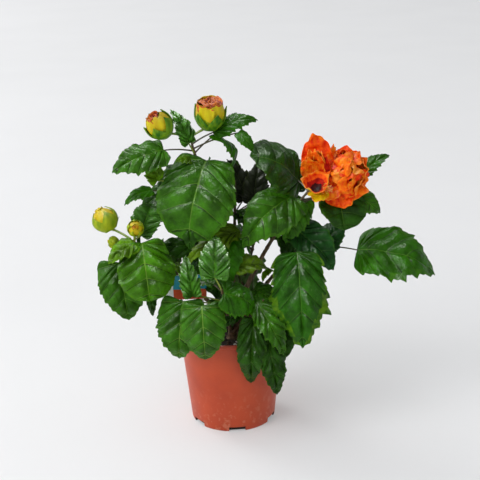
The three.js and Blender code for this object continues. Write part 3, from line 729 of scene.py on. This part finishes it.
def leaf_top(shoot, leaf, chance):
    """The upper side of a blade: rows of points that follow its side veins out to a toothed edge."""
    base, axes = leaf_base(shoot, leaf), leaf_frame(leaf)
    grid = leaf_grid(leaf)
    teeth = TOOTH_DEPTH * TEETH.get(leaf.tone, 1) * (0.5 + 0.8 * next(chance))
    share, reach = blade_outline(leaf, grid, teeth)
    length, wide = leaf.length, leaf.width / 2
    crisp = WRINKLED.get(leaf.tone, 1.0)
    fold = math.radians(7 + 20 * next(chance)) * crisp ** 0.5
    cup = 0.2 + 0.4 * next(chance)
    wave = (0.02 + 0.045 * next(chance)) * length * crisp ** 0.5
    beat, phase = 2.2 + 2 * next(chance), 2 * math.pi * next(chance)
    twist = math.radians(36 * (next(chance) - 0.5))
    curl = 0.03 + 0.2 * next(chance)
    spread = np.abs(reach) / wide
    lift = 4 * leaf.arch * length * share * (1 - share) - cup * wide * spread ** 2
    waves = 2 * math.pi * beat * share + phase + (grid.across > 0) * 1.7
    lift = lift + wave * spread ** 2 * np.sin(waves)
    lift = lift - curl * length * np.clip(share - 0.5, 0, 1) ** 2 / 0.2
    widen = np.where(grid.place < PALMATE, 0.75, 0.25)
    quilt = QUILT * crisp * length * grid.swell * np.clip(grid.out / widen, 0, 1)
    quilt = quilt * (1 - 0.5 * grid.out ** 2)
    flat = laid_out(base, axes, length * share, reach, 0 * reach)
    uneven = 0.06 * length * crumple(flat, 24) * (0.4 + spread)
    uneven = uneven + 0.018 * length * crisp ** 1.5 * crumple(flat, 8)
    lift = lift + quilt * (1 + 0.8 * crumple(flat, 14)) + uneven
    turn = twist * share + np.sign(reach) * fold
    top = laid_out(base, axes, length * share, reach * np.cos(turn), lift + reach * np.sin(turn))
    return top, share, grid


def add_leaf(pile, order, shoot, leaf, chance):
    """Adds a blade and gives the line of its midrib, from the foot almost to the tip."""
    top, share, grid = leaf_top(shoot, leaf, chance)
    first = 5 * order.index(leaf.tone)
    pile.add_sheet(top, LEAF_THICK, first + grid.kinds, first + UNDER, first + MARGIN)
    middle = grid.across.size // 2
    places = np.linspace(0.02, 0.92, 12)
    line = [np.interp(places, share[:, middle], top[:, middle, axis]) for axis in range(3)]
    return np.stack(line, axis=1)


def petiole_line(start, end):
    middle = (start + end) / 2 + np.array([0, 0, 0.08 * np.linalg.norm(end - start)])
    return bent_line((start, middle, end), np.linspace(0, 1, 9))


def add_petiole(pile, shoot, leaf, midrib):
    """A petiole from the stem to its blade, which runs on under it as the midrib."""
    start = on_shoot(shoot, leaf.at)
    under = midrib - leaf_frame(leaf)[2] * (LEAF_THICK + 0.25)
    line = petiole_line(start, under[0])
    centres = np.concatenate([line, under[1:]])
    radii = np.concatenate([
        np.linspace(1.25 * PETIOLE_RADIUS, PETIOLE_RADIUS, len(line)),
        np.linspace(0.75 * PETIOLE_RADIUS, 0.25, len(under) - 1),
    ])
    pile.add(*tube(centres, radii, 8), YOUNG_STALK if leaf.tone in YELLOW_STALKS else STALK)


def steps_along(line):
    """The distance from each point of a line to the next."""
    return np.linalg.norm(np.diff(line, axis=0), axis=1)


def bark_line(shoot, start, end):
    """Shares of a shoot from its start to its end, BARK_STEP apart, and its length between them."""
    length = steps_along(on_shoot(shoot, np.linspace(start, end, 30))).sum()
    return np.linspace(start, end, max(6, int(length / BARK_STEP))), length


def roughened(centres, radii, sides, depth):
    """Radii for each side of a limb, with ridges along the bark and rings at the old leaf scars."""
    lengths = np.concatenate([[0], steps_along(centres).cumsum()])
    scars = np.exp(-((lengths % SCAR_SPACING - SCAR_SPACING / 2) / 1.1) ** 2)
    rough = np.zeros((len(radii), sides))
    for ring, along in enumerate(lengths):
        for side in range(sides):
            angle = 2 * math.pi * side / sides
            place = Vector((3 * math.cos(angle), 3 * math.sin(angle), along * 0.22 + centres[0][2]))
            fine = Vector((5 * math.cos(angle), 5 * math.sin(angle), along * 0.9))
            rough[ring, side] = noise.noise(place) + 0.5 * noise.noise(fine)
    return radii[:, None] * (1 + 0.16 * scars[:, None]) + depth * rough


def bark_tube(centres, radii, sides, depth):
    """A limb with that many sides and bark ridges of that depth."""
    return tube(centres, roughened(centres, radii, sides, depth), sides)


def add_limb(pile, shoot):
    shares, _ = bark_line(shoot, 0, shoot.bare)
    centres = on_shoot(shoot, shares)
    pile.add(*bark_tube(centres, shoot_radius(shares), 20, 0.45), 0)


def add_stem(pile, shoot):
    """The stem inside a leaf mass: it grows on from the bough and swells a little at each leaf."""
    shares, length = bark_line(shoot, shoot.bare, 1)
    centres = on_shoot(shoot, shares)
    radii = shoot_radius(shares)
    for leaf in shoot.leaves:
        radii = radii + 0.35 * np.exp(-((shares - leaf.at) * length / (1 - shoot.bare) / 1.6) ** 2)
    radii = radii * np.clip((1.01 - shares) / 0.04, 0.3, 1)
    pile.add(*bark_tube(centres, radii, 14, 0.2), STEM)


def dress_shoot(shoot, chance):
    twigs = Pile(TWIG_ORDER)
    add_stem(twigs, shoot)
    order = sorted({leaf.tone for leaf in shoot.leaves})
    foliage = Pile([material for tone in order for material in LEAF_FINISH[tone]])
    for leaf in shoot.leaves:
        midrib = add_leaf(foliage, order, shoot, leaf, chance)
        add_petiole(twigs, shoot, leaf, midrib)
    for bud in shoot.buds:
        add_bud_stalk(twigs, shoot, bud)
    foliage.piece(f"blades_{shoot.name}", "foliage", f"leaves_{shoot.name}")
    twigs.piece(f"twigs_{shoot.name}", "bark", f"leaves_{shoot.name}")
    bark = Pile([BARK])
    add_limb(bark, shoot)
    bark.piece(f"bark_{shoot.name}", "bark", f"bough_{shoot.name}")


def trunk_radius(share):
    flare = TRUNK["flare"] * np.exp(-share * TRUNK["height"] / TRUNK["flare_fade"])
    return TRUNK["radius"] * (1 - TRUNK["taper"] * share) + flare


def make_trunk():
    shares = np.linspace(0, 1, 40)
    centres = np.stack([
        TRUNK["foot"][0] + (TRUNK["top"][0] - TRUNK["foot"][0]) * shares,
        TRUNK["foot"][1] + (TRUNK["top"][1] - TRUNK["foot"][1]) * shares,
        SOIL_TOP + 0.3 + TRUNK["height"] * shares,
    ], axis=1)
    pile = Pile([BARK])
    pile.add(*bark_tube(centres, trunk_radius(shares), 32, 0.7), 0)
    pile.piece("bark_trunk", "bark", "trunk")


# Buds

BUD_SKIN = dict(bump=0.4, specular=0.2)
BUD_INSIDE = dict(grain=0.6, bump=0.5, specular=0.2)
BUD_ORDER = [
    surface("sepal", (46, 106, 12), (118, 158, 20), 5, 0.5, grain=0.8, stretch=3, **BUD_SKIN),
    surface("bud_lime", (122, 150, 12), (164, 178, 20), 5, 0.5, grain=0.7, stretch=4, **BUD_SKIN),
    surface("bud_petal", (206, 192, 16), (196, 166, 14), 7, 0.5, grain=0.7, stretch=4, **BUD_SKIN),
    surface("bud_flame", (162, 58, 10), (212, 116, 34), 3, 0.55, **BUD_INSIDE),
    # painted shade in the troughs of the folds in a bud's mouth
    surface("bud_fold_shade", (96, 12, 8), (158, 48, 20), 3, 0.6, **BUD_INSIDE),
]
SEPAL, LIME, YELLOW, FLAME, FOLD_SHADE = range(5)


def bud_radius(bud, share):
    mouth = 0.14 + 0.74 * bud.opening
    swell = np.sin(math.pi / 2 * np.minimum(1, (share + 0.13) / 0.6)) ** 0.8
    return bud.radius * swell * (1 - (1 - mouth) * np.clip((share - 0.5) / 0.5, 0, 1) ** 2)


def bud_base(shoot, bud):
    return on_shoot(shoot, bud.at) + compass(bud.turn, bud.rise) * bud.reach


def add_bud_stalk(pile, shoot, bud):
    start = on_shoot(shoot, bud.at)
    line = petiole_line(start, bud_base(shoot, bud) + compass(bud.head, bud.lift) * 2)
    radii = np.linspace(1.15 * STALK_RADIUS, STALK_RADIUS, len(line))
    radii[-2:] = (1.4 * STALK_RADIUS, 2.2 * STALK_RADIUS)
    pile.add(*tube(line, radii, 10), YOUNG_STALK)


def add_bud(pile, base, bud, chance):
    axis, turn = compass(bud.head, bud.lift), 2 * math.pi * next(chance)
    for petal in range(SEPALS):
        middle, reach = turn + petal * 2 * math.pi / SEPALS, 0.9 + 0.1 * next(chance)
        add_bud_petal(pile, base, axis, bud, middle, petal, reach)
    add_sepals(pile, base, axis, bud, turn - 0.1, chance)
    add_bud_mouth(pile, base, axis, bud, turn)


def add_bud_petal(pile, base, axis, bud, middle, petal, reach):
    """One of the five outer petals that wrap round each other: lime, then yellow, with a warm edge."""
    rows, across = shares_of(25, 25)
    ragged = 0.07 * np.sin(8 * across + 2 * petal) + 0.03 * np.sin(17 * across)
    share = rows - ragged * np.clip(9 * np.minimum(rows, 1 - rows), 0, 1)
    place = share * reach * (1 - 0.12 * across ** 2 * share ** 3)
    radius = bud_radius(bud, place) * (0.94 + 0.04 * across)
    radius = radius + 0.02 * bud.radius * np.sin(9 * across + petal) * share
    radius = radius + 0.07 * bud.radius * bud.opening * share ** 6 * np.sin(5 * across + 2 * petal)
    angle = middle + across * math.radians(54) + 0.6 * (1 - bud.opening) * place
    yellow = 2 if bud.radius < SMALL_BUD else 0.44
    flame = 1.02 - (0.1 + 0.16 * (petal % 2)) * bud.opening
    kinds = LIME + (rows[:-1] > yellow).astype(int) + (rows[:-1] > flame) * (bud.opening > CLOSED)
    top = round_axis(base, axis, bud.length * place, angle, radius)
    pile.add_sheet(top, SEPAL_THICK, kinds, YELLOW, YELLOW)


def add_sepals(pile, base, axis, bud, turn, chance):
    """Five pointed sepals, and outside their foot a ring of seven thin bracts that stand off."""
    share, across = shares_of(21, 11)
    kind = SEPAL if bud.opening > CLOSED else LIME
    for sepal in range(SEPALS):
        place = share * (0.78 - 0.2 * bud.opening + 0.16 * next(chance))
        width = math.radians(41) * np.clip((1.5 - 0.35 * bud.opening) * (1 - share ** 1.5), 0.03, 1)
        radius = bud_radius(bud, place) + 1.0 + 0.1 * bud.radius * share ** 5
        radius = radius + 0.04 * bud.radius * (1 - across ** 2)
        radius = radius + 0.3 * np.sin(7 * across + sepal) * share
        angle = turn + sepal * 2 * math.pi / SEPALS + across * width
        top = round_axis(base, axis, bud.length * place, angle, radius)
        pile.add_sheet(top, SEPAL_THICK, kind, kind, kind)
    share, across = shares_of(8, 4)
    for bract in range(BRACTS):
        radius = bud.radius * (0.4 + (0.4 + 0.4 * next(chance)) * share)
        place = bud.length * (0.03 + 0.26 * share ** 1.5) + 0 * across
        angle = turn + bract * 2 * math.pi / BRACTS
        angle = angle + 0.11 * across * (1.05 - share) * bud.radius / radius
        top = round_axis(base, axis, place, angle, radius + 0 * across)
        pile.add_sheet(top, BRACT_THICK, SEPAL, SEPAL, SEPAL)


def add_bud_mouth(pile, base, axis, bud, turn):
    """The inner petals, rolled up in a spiral of crumpled folds that fills the mouth, with painted
    shade in the troughs of the folds.
    """
    out = np.linspace(0.04, 1, 23)[:, None]
    angle = turn + np.linspace(0, 2 * math.pi * 1.03, 73)[None, :]
    fold = np.sin(2 * angle + 12 * out + 0.9 * np.sin(3 * angle + turn))
    radius = out * (bud_radius(bud, 0.9) - 1.2) * (1 + 0.05 * np.sin(4 * angle))
    flat = round_axis(base, axis, 0 * radius, angle, radius)
    fold = fold + 1.4 * crumple(flat, 0.3 * bud.radius)
    place = bud.length * (0.88 + 0.04 * out) + 0.1 * bud.radius * fold + 0.1 * angle
    light, dark = YELLOW, FLAME if bud.opening else YELLOW
    if bud.opening > CLOSED:
        light, dark = FLAME, FOLD_SHADE
    # painted shade: the troughs of the folds take the darker colour, the crests the lighter one
    kinds = np.where(fold[:-1, :-1] > -0.35, light, dark)
    pile.add_sheet(round_axis(base, axis, place, angle, radius), BRACT_THICK, kinds, dark, dark)


def make_buds(chance):
    for shoot in SHOOTS:
        if shoot.buds:
            pile = Pile(BUD_ORDER)
            for bud in shoot.buds:
                add_bud(pile, bud_base(shoot, bud), bud, chance)
            pile.piece(f"buds_{shoot.name}", "petals", f"leaves_{shoot.name}")


# The bloom

PETAL_FINISH = {
    tone: surface(f"petal_{tone}", *colours, 5, 0.55, grain=1.0, bump=0.5, specular=0.12)
    for tone, colours in PETAL_TONES.items()
}
STAMEN = surface("stamen", (246, 186, 60), (240, 150, 50), 2, 0.5, grain=0.6, bump=0.3)
BLOOM_ORDER = [*PETAL_FINISH, "stamen"]


def fan_width(share):
    """A petal's width along it: a narrow claw, then a broad fan with a blunt end."""
    return np.sin(math.pi * (0.05 + 0.68 * share)) ** 0.7


def petal_top(base, chord, facing, petal, ruffle, phase, size):
    """The upper side of a petal: a crumpled fan thrown into waves that grow towards its edge."""
    axes = blade_frame(chord, facing)
    length, folds = petal.length, petal.folds
    share, across = shares_of(*size)
    edge = 0.05 * np.sin(3.7 * folds * across + phase) + 0.025 * np.sin(10 * across + 2 * phase)
    along = share * (1 - 0.33 * np.abs(across) ** petal.power + edge * share)
    reach = petal.width / 2 * fan_width(share) * across
    lift = 4 * petal.arch * length * share * (1 - share) + 0.1 * np.abs(reach)
    lift = lift + ruffle * share ** 1.3 * np.sin(math.pi * folds * across + phase)
    finer = 9 * folds * across + 3 * np.sin(2 * across + phase) + phase
    lift = lift + 0.16 * ruffle * share * np.sin(finer)
    flat = laid_out(base, axes, length * along, reach, 0 * reach)
    creases = 2 * ruffle * crumple(flat + 50 * phase, 9) + 0.8 * crumple(flat, 3.5)
    return laid_out(base, axes, length * along, reach, lift + creases * share ** 0.8)


def add_petal(pile, top, tone, phase):
    """A petal with a deep throat, then flame, its own tone and a paler edge, with ragged borders."""
    edge = PETAL_EDGES.get(tone, "amber")
    body, pale, flame, deep = (BLOOM_ORDER.index(name) for name in (tone, edge, "flame", "deep"))
    share = np.linspace(0, 1, top.shape[0])[:-1, None]
    place = share + 0.09 * crumple(top[:-1, :-1] + 9 * phase, 4)
    kinds = np.full(place.shape, body)
    kinds[place > 0.96] = pale
    if tone != "yellow":
        kinds[place < THROAT + 0.16] = flame
        kinds[place < THROAT] = deep
    pile.add_sheet(top, PETAL_THICK, kinds, body, pale)


def add_ruffles(pile, chance):
    """Small puffed petals over deeper ones, which are all the deep tone as painted shade in the
    creases. Each leans over its neighbour and leaves a dark crease.
    """
    middle, radii = np.array(RUFFLES["middle"], float), np.array(RUFFLES["radii"], float)
    lean = math.radians(RUFFLES["lean"])
    for i in range(RUFFLES["count"]):
        height = 0.94 - 1.88 * (i + 0.5) / RUFFLES["count"]
        out = compass(i * SPIRAL_TURN, math.degrees(math.asin(height)))
        for depth, size in ((1, 1), (RUFFLES["heart"], 0.8)):
            aside = unit(np.cross(out, compass(360 * next(chance), 90 * next(chance))))
            chord = out * math.cos(lean) + aside * math.sin(lean)
            facing = out * math.sin(lean) - aside * math.cos(lean)
            length = RUFFLES["length"] * size * (0.8 + 0.4 * next(chance))
            width = RUFFLES["width"] * size * (0.8 + 0.4 * next(chance))
            # painted shade: the inner layer is all deep red, to darken the creases between the ruffles
            tone = RUFFLE_TONES[i % len(RUFFLE_TONES)] if depth == 1 else "deep"
            petal = Petal(0, 0, length, width, tone, RUFFLES["arch"], 1.2 + next(chance), 2)
            base = middle + out * radii * depth - chord * length * 0.45
            phase = 6 * next(chance)
            top = petal_top(base, chord, facing, petal, RUFFLES["depth"], phase, RUFFLES["grid"])
            add_petal(pile, top, tone, phase)


def add_funnel(pile):
    """The rolled petal that shows as a dark-eyed bowl at the front of the bloom."""
    share = np.linspace(0, 1, 26)[:, None]
    angle = np.linspace(0, 2 * math.pi * 1.04, 73)[None, :]
    wavy = 0.09 * share * np.sin(3 * angle + 1) + 0.05 * share ** 2 * np.sin(8 * angle)
    radius = 0.1 + FUNNEL["radius"] * share ** 0.62 * (1 + wavy + 0.01 * angle)
    place = FUNNEL["depth"] * (share - 1) + 1.6 * share ** 3 * np.sin(5 * angle + 1)
    axis, middle = compass(FUNNEL["head"], FUNNEL["rise"]), np.array(FUNNEL["middle"], float)
    top = round_axis(middle, axis, place, angle, radius)
    out = unit(top - middle + axis * FUNNEL["depth"])
    top = top + out * (2.2 * share * crumple(top, 7) + share * crumple(top, 3))[..., None]
    ragged = share[:-1] + 0.08 * crumple(top[:-1, :-1], 4)
    bands = np.array([BLOOM_ORDER.index(tone) for tone in FUNNEL_TONES])
    kinds = bands[np.searchsorted(FUNNEL_BANDS, ragged)]
    pile.add_sheet(top, PETAL_THICK, kinds, BLOOM_ORDER.index("yellow"), int(bands[-1]))


def add_stamens(pile, chance):
    """A tuft of fine stalks with pollen beads beside the funnel."""
    foot = np.array(FUNNEL["middle"], float) + STAMENS["foot"]
    ahead = compass(STAMENS["head"], STAMENS["rise"])
    kind = BLOOM_ORDER.index("stamen")
    for _ in range(STAMENS["count"]):
        out = unit(ahead + STAMENS["spread"] * np.array([next(chance) - 0.4, 0, next(chance) - 0.5]))
        end = foot + out * (STAMENS["length"] + 4 * next(chance))
        pile.add(*tube(np.linspace(foot, end, 4), (0.25, 0.2, 0.2, 0.15), 5), kind)
        bead = [end + out * along for along in (-0.5, -0.25, 0, 0.25, 0.5)]
        pile.add(*tube(bead, (0.2, 0.45, 0.5, 0.45, 0.2), 7), kind)


def make_bloom(chance):
    pile = Pile([*PETAL_FINISH.values(), STAMEN])
    for lobe in LOBES:
        for petal in lobe.petals:
            phase = 2 * math.pi * next(chance)
            eye, chord = np.array(lobe.eye, float), compass(petal.head, petal.rise)
            facing = compass(*lobe.face)
            top = petal_top(eye, chord, facing, petal, PETAL_RUFFLE, phase, PETAL_GRID)
            add_petal(pile, top, petal.tone, phase)
    add_ruffles(pile, chance)
    add_funnel(pile)
    add_stamens(pile, chance)
    pile.piece("bloom_petals", "petals", "bloom")
    calyx = Pile(BUD_ORDER)
    add_sepals(calyx, np.array(CALYX_FOOT, float), compass(CALYX.head, CALYX.lift), CALYX, 0, chance)
    calyx.piece("bloom_calyx", "petals", "bloom")


# Pot, soil and label

def wall_radius(height):
    slope = (RIM_RADIUS - RIM_OVERHANG - FOOT_RADIUS) / (POT_HEIGHT - RIM_DEPTH)
    return FOOT_RADIUS + slope * height


def notch_cutter():
    made = bmesh.new()
    for i in range(NOTCH["count"]):
        turn = math.radians(NOTCH["first"] + i * 360 / NOTCH["count"])
        place = Matrix.Rotation(turn, 4, "Z") @ Matrix.Translation((FOOT_RADIUS * MM, 0, 0))
        size = (2 * NOTCH["depth"] * MM, NOTCH["width"] * MM, 2 * NOTCH["height"] * MM, 1)
        bmesh.ops.create_cube(made, size=1, matrix=place @ Matrix.Diagonal(size))
    mesh = bpy.data.meshes.new("notch_cutter")
    made.to_mesh(mesh)
    made.free()
    return shown("notch_cutter", mesh)


def shade_notches(mesh):
    """Painted shade: the faces in the drain notches take the dark soil material, which stands in for
    the shadow inside them.
    """
    near, far = FOOT_RADIUS - NOTCH["depth"] - 1, FOOT_RADIUS - 0.6
    for face in mesh.polygons:
        place = face.center / MM
        if 0.1 < place.z < NOTCH["height"] and near < place.xy.length < far:
            face.material_index = 1


def make_pot():
    neck = POT_HEIGHT - RIM_DEPTH
    profile = [
        (0.5, 0), (FOOT_RADIUS - 1.2, 0), (FOOT_RADIUS - 0.4, 0.3), (FOOT_RADIUS, 1),
        *((wall_radius(height), height) for height in np.linspace(4, neck, 12)),
        (RIM_RADIUS - 0.8, neck + 0.2), (RIM_RADIUS - 0.1, neck + 0.9), (RIM_RADIUS, neck + 2.5),
        (RIM_RADIUS - 0.3, POT_HEIGHT - 0.8), (RIM_RADIUS - 1.0, POT_HEIGHT - 0.1),
        (RIM_RADIUS - 1.9, POT_HEIGHT), (wall_radius(neck) - 0.7, POT_HEIGHT - 0.5),
        *((wall_radius(height) - POT_WALL, height) for height in np.linspace(neck, POT_FLOOR, 10)),
        (0.5, POT_FLOOR),
    ]
    # the soil material is also the painted shade in the drain notches
    pile = Pile([POT_PLASTIC, SOIL])
    pile.add(round_points(profile, POT_SEGMENTS), ring_faces(len(profile), POT_SEGMENTS), 0)
    pot = pile.piece("pot_shell", "pot", "pot", crease=POT_CREASE)
    cutter = notch_cutter()
    cut = pot.modifiers.new("notches", "BOOLEAN")
    cut.operation = "DIFFERENCE"
    cut.solver = "EXACT"
    cut.object = cutter
    whole = pot.evaluated_get(bpy.context.evaluated_depsgraph_get())
    cut_mesh = bpy.data.meshes.new_from_object(whole)
    pot.modifiers.remove(cut)
    shade_notches(cut_mesh)
    cut_mesh.set_sharp_from_angle(angle=math.radians(POT_CREASE))
    pot.data = cut_mesh
    bpy.data.objects.remove(cutter)


def soil_height(x, y):
    lumps = noise.noise(Vector((x * 0.09, y * 0.09, 3.0)))
    return SOIL_TOP + 1.1 * (lumps + 0.5 * noise.noise(Vector((x * 0.25, y * 0.25, 1.0))))


def make_soil(chance):
    pile = Pile([SOIL, SOIL_LIGHT, PERLITE])
    rings, segments = 22, 72
    reach = wall_radius(SOIL_TOP) - POT_WALL - SOIL_PLAY
    foot_reach = wall_radius(POT_FLOOR) - POT_WALL - SOIL_PLAY
    angles = np.arange(segments) / segments * 2 * math.pi
    radii = np.concatenate([[foot_reach, reach - 0.4], np.linspace(reach, 1, rings)])
    points = []
    for ring, radius in enumerate(radii):
        for angle in angles:
            x, y = radius * math.cos(angle), radius * math.sin(angle)
            height = (POT_FLOOR + 0.4, SOIL_TOP - 4)[ring] if ring < 2 else soil_height(x, y)
            points.append((x, y, height))
    pile.add(points, ring_faces(len(radii), segments), 0)
    add_crumbs(pile, chance, reach)
    pile.piece("compost", "soil", "soil")


def add_crumbs(pile, chance, reach):
    """Crumbs of peat and a few pale grains, half sunk in the soil."""
    made = bmesh.new()
    bmesh.ops.create_icosphere(made, subdivisions=1, radius=1)
    ball = np.array([vertex.co[:] for vertex in made.verts])
    faces = [[vertex.index for vertex in face.verts] for face in made.faces]
    made.free()
    for i in range(CRUMBS):
        angle = 2 * math.pi * next(chance)
        radius = (reach - 4) * math.sqrt(0.02 + 0.98 * next(chance))
        size = 0.7 + 2.2 * next(chance) ** 3
        x, y = radius * math.cos(angle), radius * math.sin(angle)
        shape = ball * size * (0.7 + 0.6 * next(chance), 0.7 + 0.6 * next(chance), 0.6)
        shape = shape * (1 + 0.25 * np.sin(ball[:, :1] * 5 + i) * np.cos(ball[:, 1:2] * 4 + i))
        kind = 2 if i % 23 == 0 else i % 2
        pile.add(shape + (x, y, soil_height(x, y) + 0.2 * size), faces, kind)


def make_label():
    """A plain printed card on a stake: a pale end, and a blue band over an orange one."""
    pile = Pile(CARD_FINISH)
    across = np.linspace(-1, 1, 19)[None, :]
    down = np.linspace(1, -1, 13)[:, None]
    half_width, half_height = LABEL["width"] / 2, LABEL["height"] / 2
    corner = 1 - 0.07 * np.clip(np.abs(down) - 0.8, 0, 1) / 0.2
    card = np.stack([
        half_width * across * corner,
        LABEL["curl"] * (across ** 2 - 0.5) + 0 * down,
        half_height * down + 0 * across,
    ], axis=-1)
    columns, rows = np.arange(across.size - 1)[None, :], np.arange(down.size - 1)[:, None]
    bands = np.where(columns < 5, PALE, np.where(rows < 7, BLUE, ORANGE))
    stake_height = LABEL["middle"] - STAKE["foot"]
    down_stake = np.linspace(0, 1, 16)[:, None]
    taper = 1 - 0.75 * np.clip((down_stake - 0.85) / 0.15, 0, 1)
    side = np.linspace(-1, 1, 5)[None, :]
    stake = np.stack([
        STAKE["offset"] + STAKE["width"] / 2 * side * taper,
        0.9 + 0 * down_stake * side,
        -stake_height * down_stake + 0 * side,
    ], axis=-1)
    lean = np.array(Matrix.Rotation(math.radians(LABEL["lean"]), 3, "X")).T
    for grid, kinds in ((card, bands), (stake, WHITE)):
        leaned = grid @ lean + (LABEL["x"], LABEL["y"], LABEL["middle"])
        pile.add_sheet(leaned, LABEL["thick"], kinds, WHITE, WHITE)
    pile.piece("label_card", "label", "plant_label")


def pot_plastic():
    """Moulded plastic in a terracotta colour, with pale dusty scuffs on its lower half."""
    fine = dict(grain=0.8, bump=0.12, specular=0.4)
    material = surface("terracotta_plastic", (172, 58, 20), (190, 70, 28), 45, 0.42, **fine)
    nodes, links = material.node_tree.nodes, material.node_tree.links
    shader = nodes["Principled BSDF"]
    place = new_node(material, "ShaderNodeTexCoord").outputs["Object"]
    parts = new_node(material, "ShaderNodeSeparateXYZ", links={"Vector": place})
    low = ranged(material, parts.outputs["Z"], SCUFFS["top"] * MM, 0, 0, 1)
    specks = noise_field(material, place, SCUFFS["size"], 9)
    speck = ranged(material, specks, 0.54, 0.66, 0, SCUFFS["strength"])
    share = new_node(material, "ShaderNodeMath", links={0: low, 1: speck})
    share.operation = "MULTIPLY"
    mix = nodes.new("ShaderNodeMix")
    mix.data_type = "RGBA"
    plain = shader.inputs["Base Color"].links[0].from_socket
    links.new(share.outputs["Value"], mix.inputs["Factor"])
    links.new(plain, mix.inputs["A"])
    mix.inputs["B"].default_value = linear(SCUFFS["colour"])
    links.new(mix.outputs["Result"], shader.inputs["Base Color"])
    return material


POT_PLASTIC = pot_plastic()
SOIL = surface("compost_dark", (34, 24, 18), (54, 40, 30), 4, 0.95, grain=1.2, bump=0.9)
SOIL_LIGHT = surface("compost_light", (66, 48, 34), (84, 64, 46), 4, 0.95, grain=1.2, bump=0.9)
PERLITE = surface("perlite", (190, 186, 176), (210, 206, 198), 3, 0.9, grain=0.8, bump=0.6)
CARD_FINISH = [
    surface(f"card_{name}", *colours, 20, 0.4, grain=1.0, bump=0.03)
    for name, colours in CARD_TONES.items()
]
PALE, BLUE, ORANGE, WHITE = range(4)


# Studio

def make_floor():
    """A round floor that curves up into a low wall far behind everything, so that no horizon shows."""
    flat, curve = FLOOR["flat"], FLOOR["curve"]
    bend = np.linspace(0, math.pi / 2, 13)
    profile = [(flat + curve * math.sin(a), curve * (1 - math.cos(a))) for a in bend]
    profile.append((flat + curve, curve + FLOOR["rise"]))
    index = np.arange(len(profile) * FLOOR["sides"]).reshape(len(profile), FLOOR["sides"])
    faces = grid_quads(np.concatenate([index, index[:, :1]], axis=1)).tolist() + [index[0].tolist()]
    mesh = bpy.data.meshes.new("floor")
    mesh.from_pydata(round_points(profile, FLOOR["sides"]), [], faces)
    mesh.polygons.foreach_set("use_smooth", [True] * len(faces))
    fine = dict(grain=4, bump=0.02, specular=0.1)
    paper = surface("floor_paper", (199, 199, 200), (201, 201, 202), 300, 0.9, **fine)
    shader = paper.node_tree.nodes["Principled BSDF"]
    shader.inputs["Emission Color"].default_value = (1, 1, 1, 1)
    shader.inputs["Emission Strength"].default_value = FLOOR_GLOW
    mesh.materials.append(paper)
    floor = shown("floor", mesh)


def make_light(light):
    data = bpy.data.lights.new(light.name, "AREA")
    data.shape = "DISK"
    data.size = light.size
    data.energy = light.power
    lamp = shown(light.name, data)
    lamp.location = light.place
    lamp.visible_diffuse = not light.gloss_only
    back = Vector(light.place) - Vector(light.target)
    lamp.rotation_euler = back.to_track_quat("Z", "Y").to_euler()


def make_world():
    """Soft light from all round that is stronger on the left than on the right."""
    world = bpy.data.worlds.new("studio")
    world.use_nodes = True
    place = new_node(world, "ShaderNodeTexCoord").outputs["Generated"]
    across = new_node(world, "ShaderNodeSeparateXYZ", links={"Vector": place}).outputs["X"]
    strength = ranged(world, across, -1, 1, WORLD["left"], WORLD["right"])
    background = world.node_tree.nodes["Background"]
    world.node_tree.links.new(strength, background.inputs["Strength"])
    background.inputs["Color"].default_value = WORLD["colour"]
    bpy.context.scene.world = world


def make_studio():
    make_world()
    for light in LIGHTS:
        make_light(light)


def make_camera():
    pitch, roll = math.radians(CAMERA["pitch"]), math.radians(CAMERA["roll"])
    forward = np.array([0, math.cos(pitch), -math.sin(pitch)])
    level = np.array([1.0, 0, 0])
    raised = np.cross(level, forward)
    right = math.cos(roll) * level + math.sin(roll) * raised
    up = -math.sin(roll) * level + math.cos(roll) * raised
    place = (np.array(CAMERA["target"]) - forward * CAMERA["distance"]) * MM
    data = bpy.data.cameras.new("camera")
    data.lens = CAMERA["lens"]
    data.sensor_width = CAMERA["sensor"]
    data.clip_end = 50
    camera = shown("camera", data)
    turn = Matrix((right, up, -forward)).transposed().to_4x4()
    camera.matrix_world = Matrix.Translation(place) @ turn
    bpy.context.scene.camera = camera


def main():
    bpy.context.scene.view_settings.view_transform = "Standard"
    make_camera()
    make_studio()
    make_floor()
    make_pot()
    looks = chance_from(LOOKS_SEED)
    make_soil(looks)
    make_label()
    make_trunk()
    fill_leaves()
    for shoot in SHOOTS:
        dress_shoot(shoot, looks)
    make_buds(looks)
    make_bloom(looks)


main()
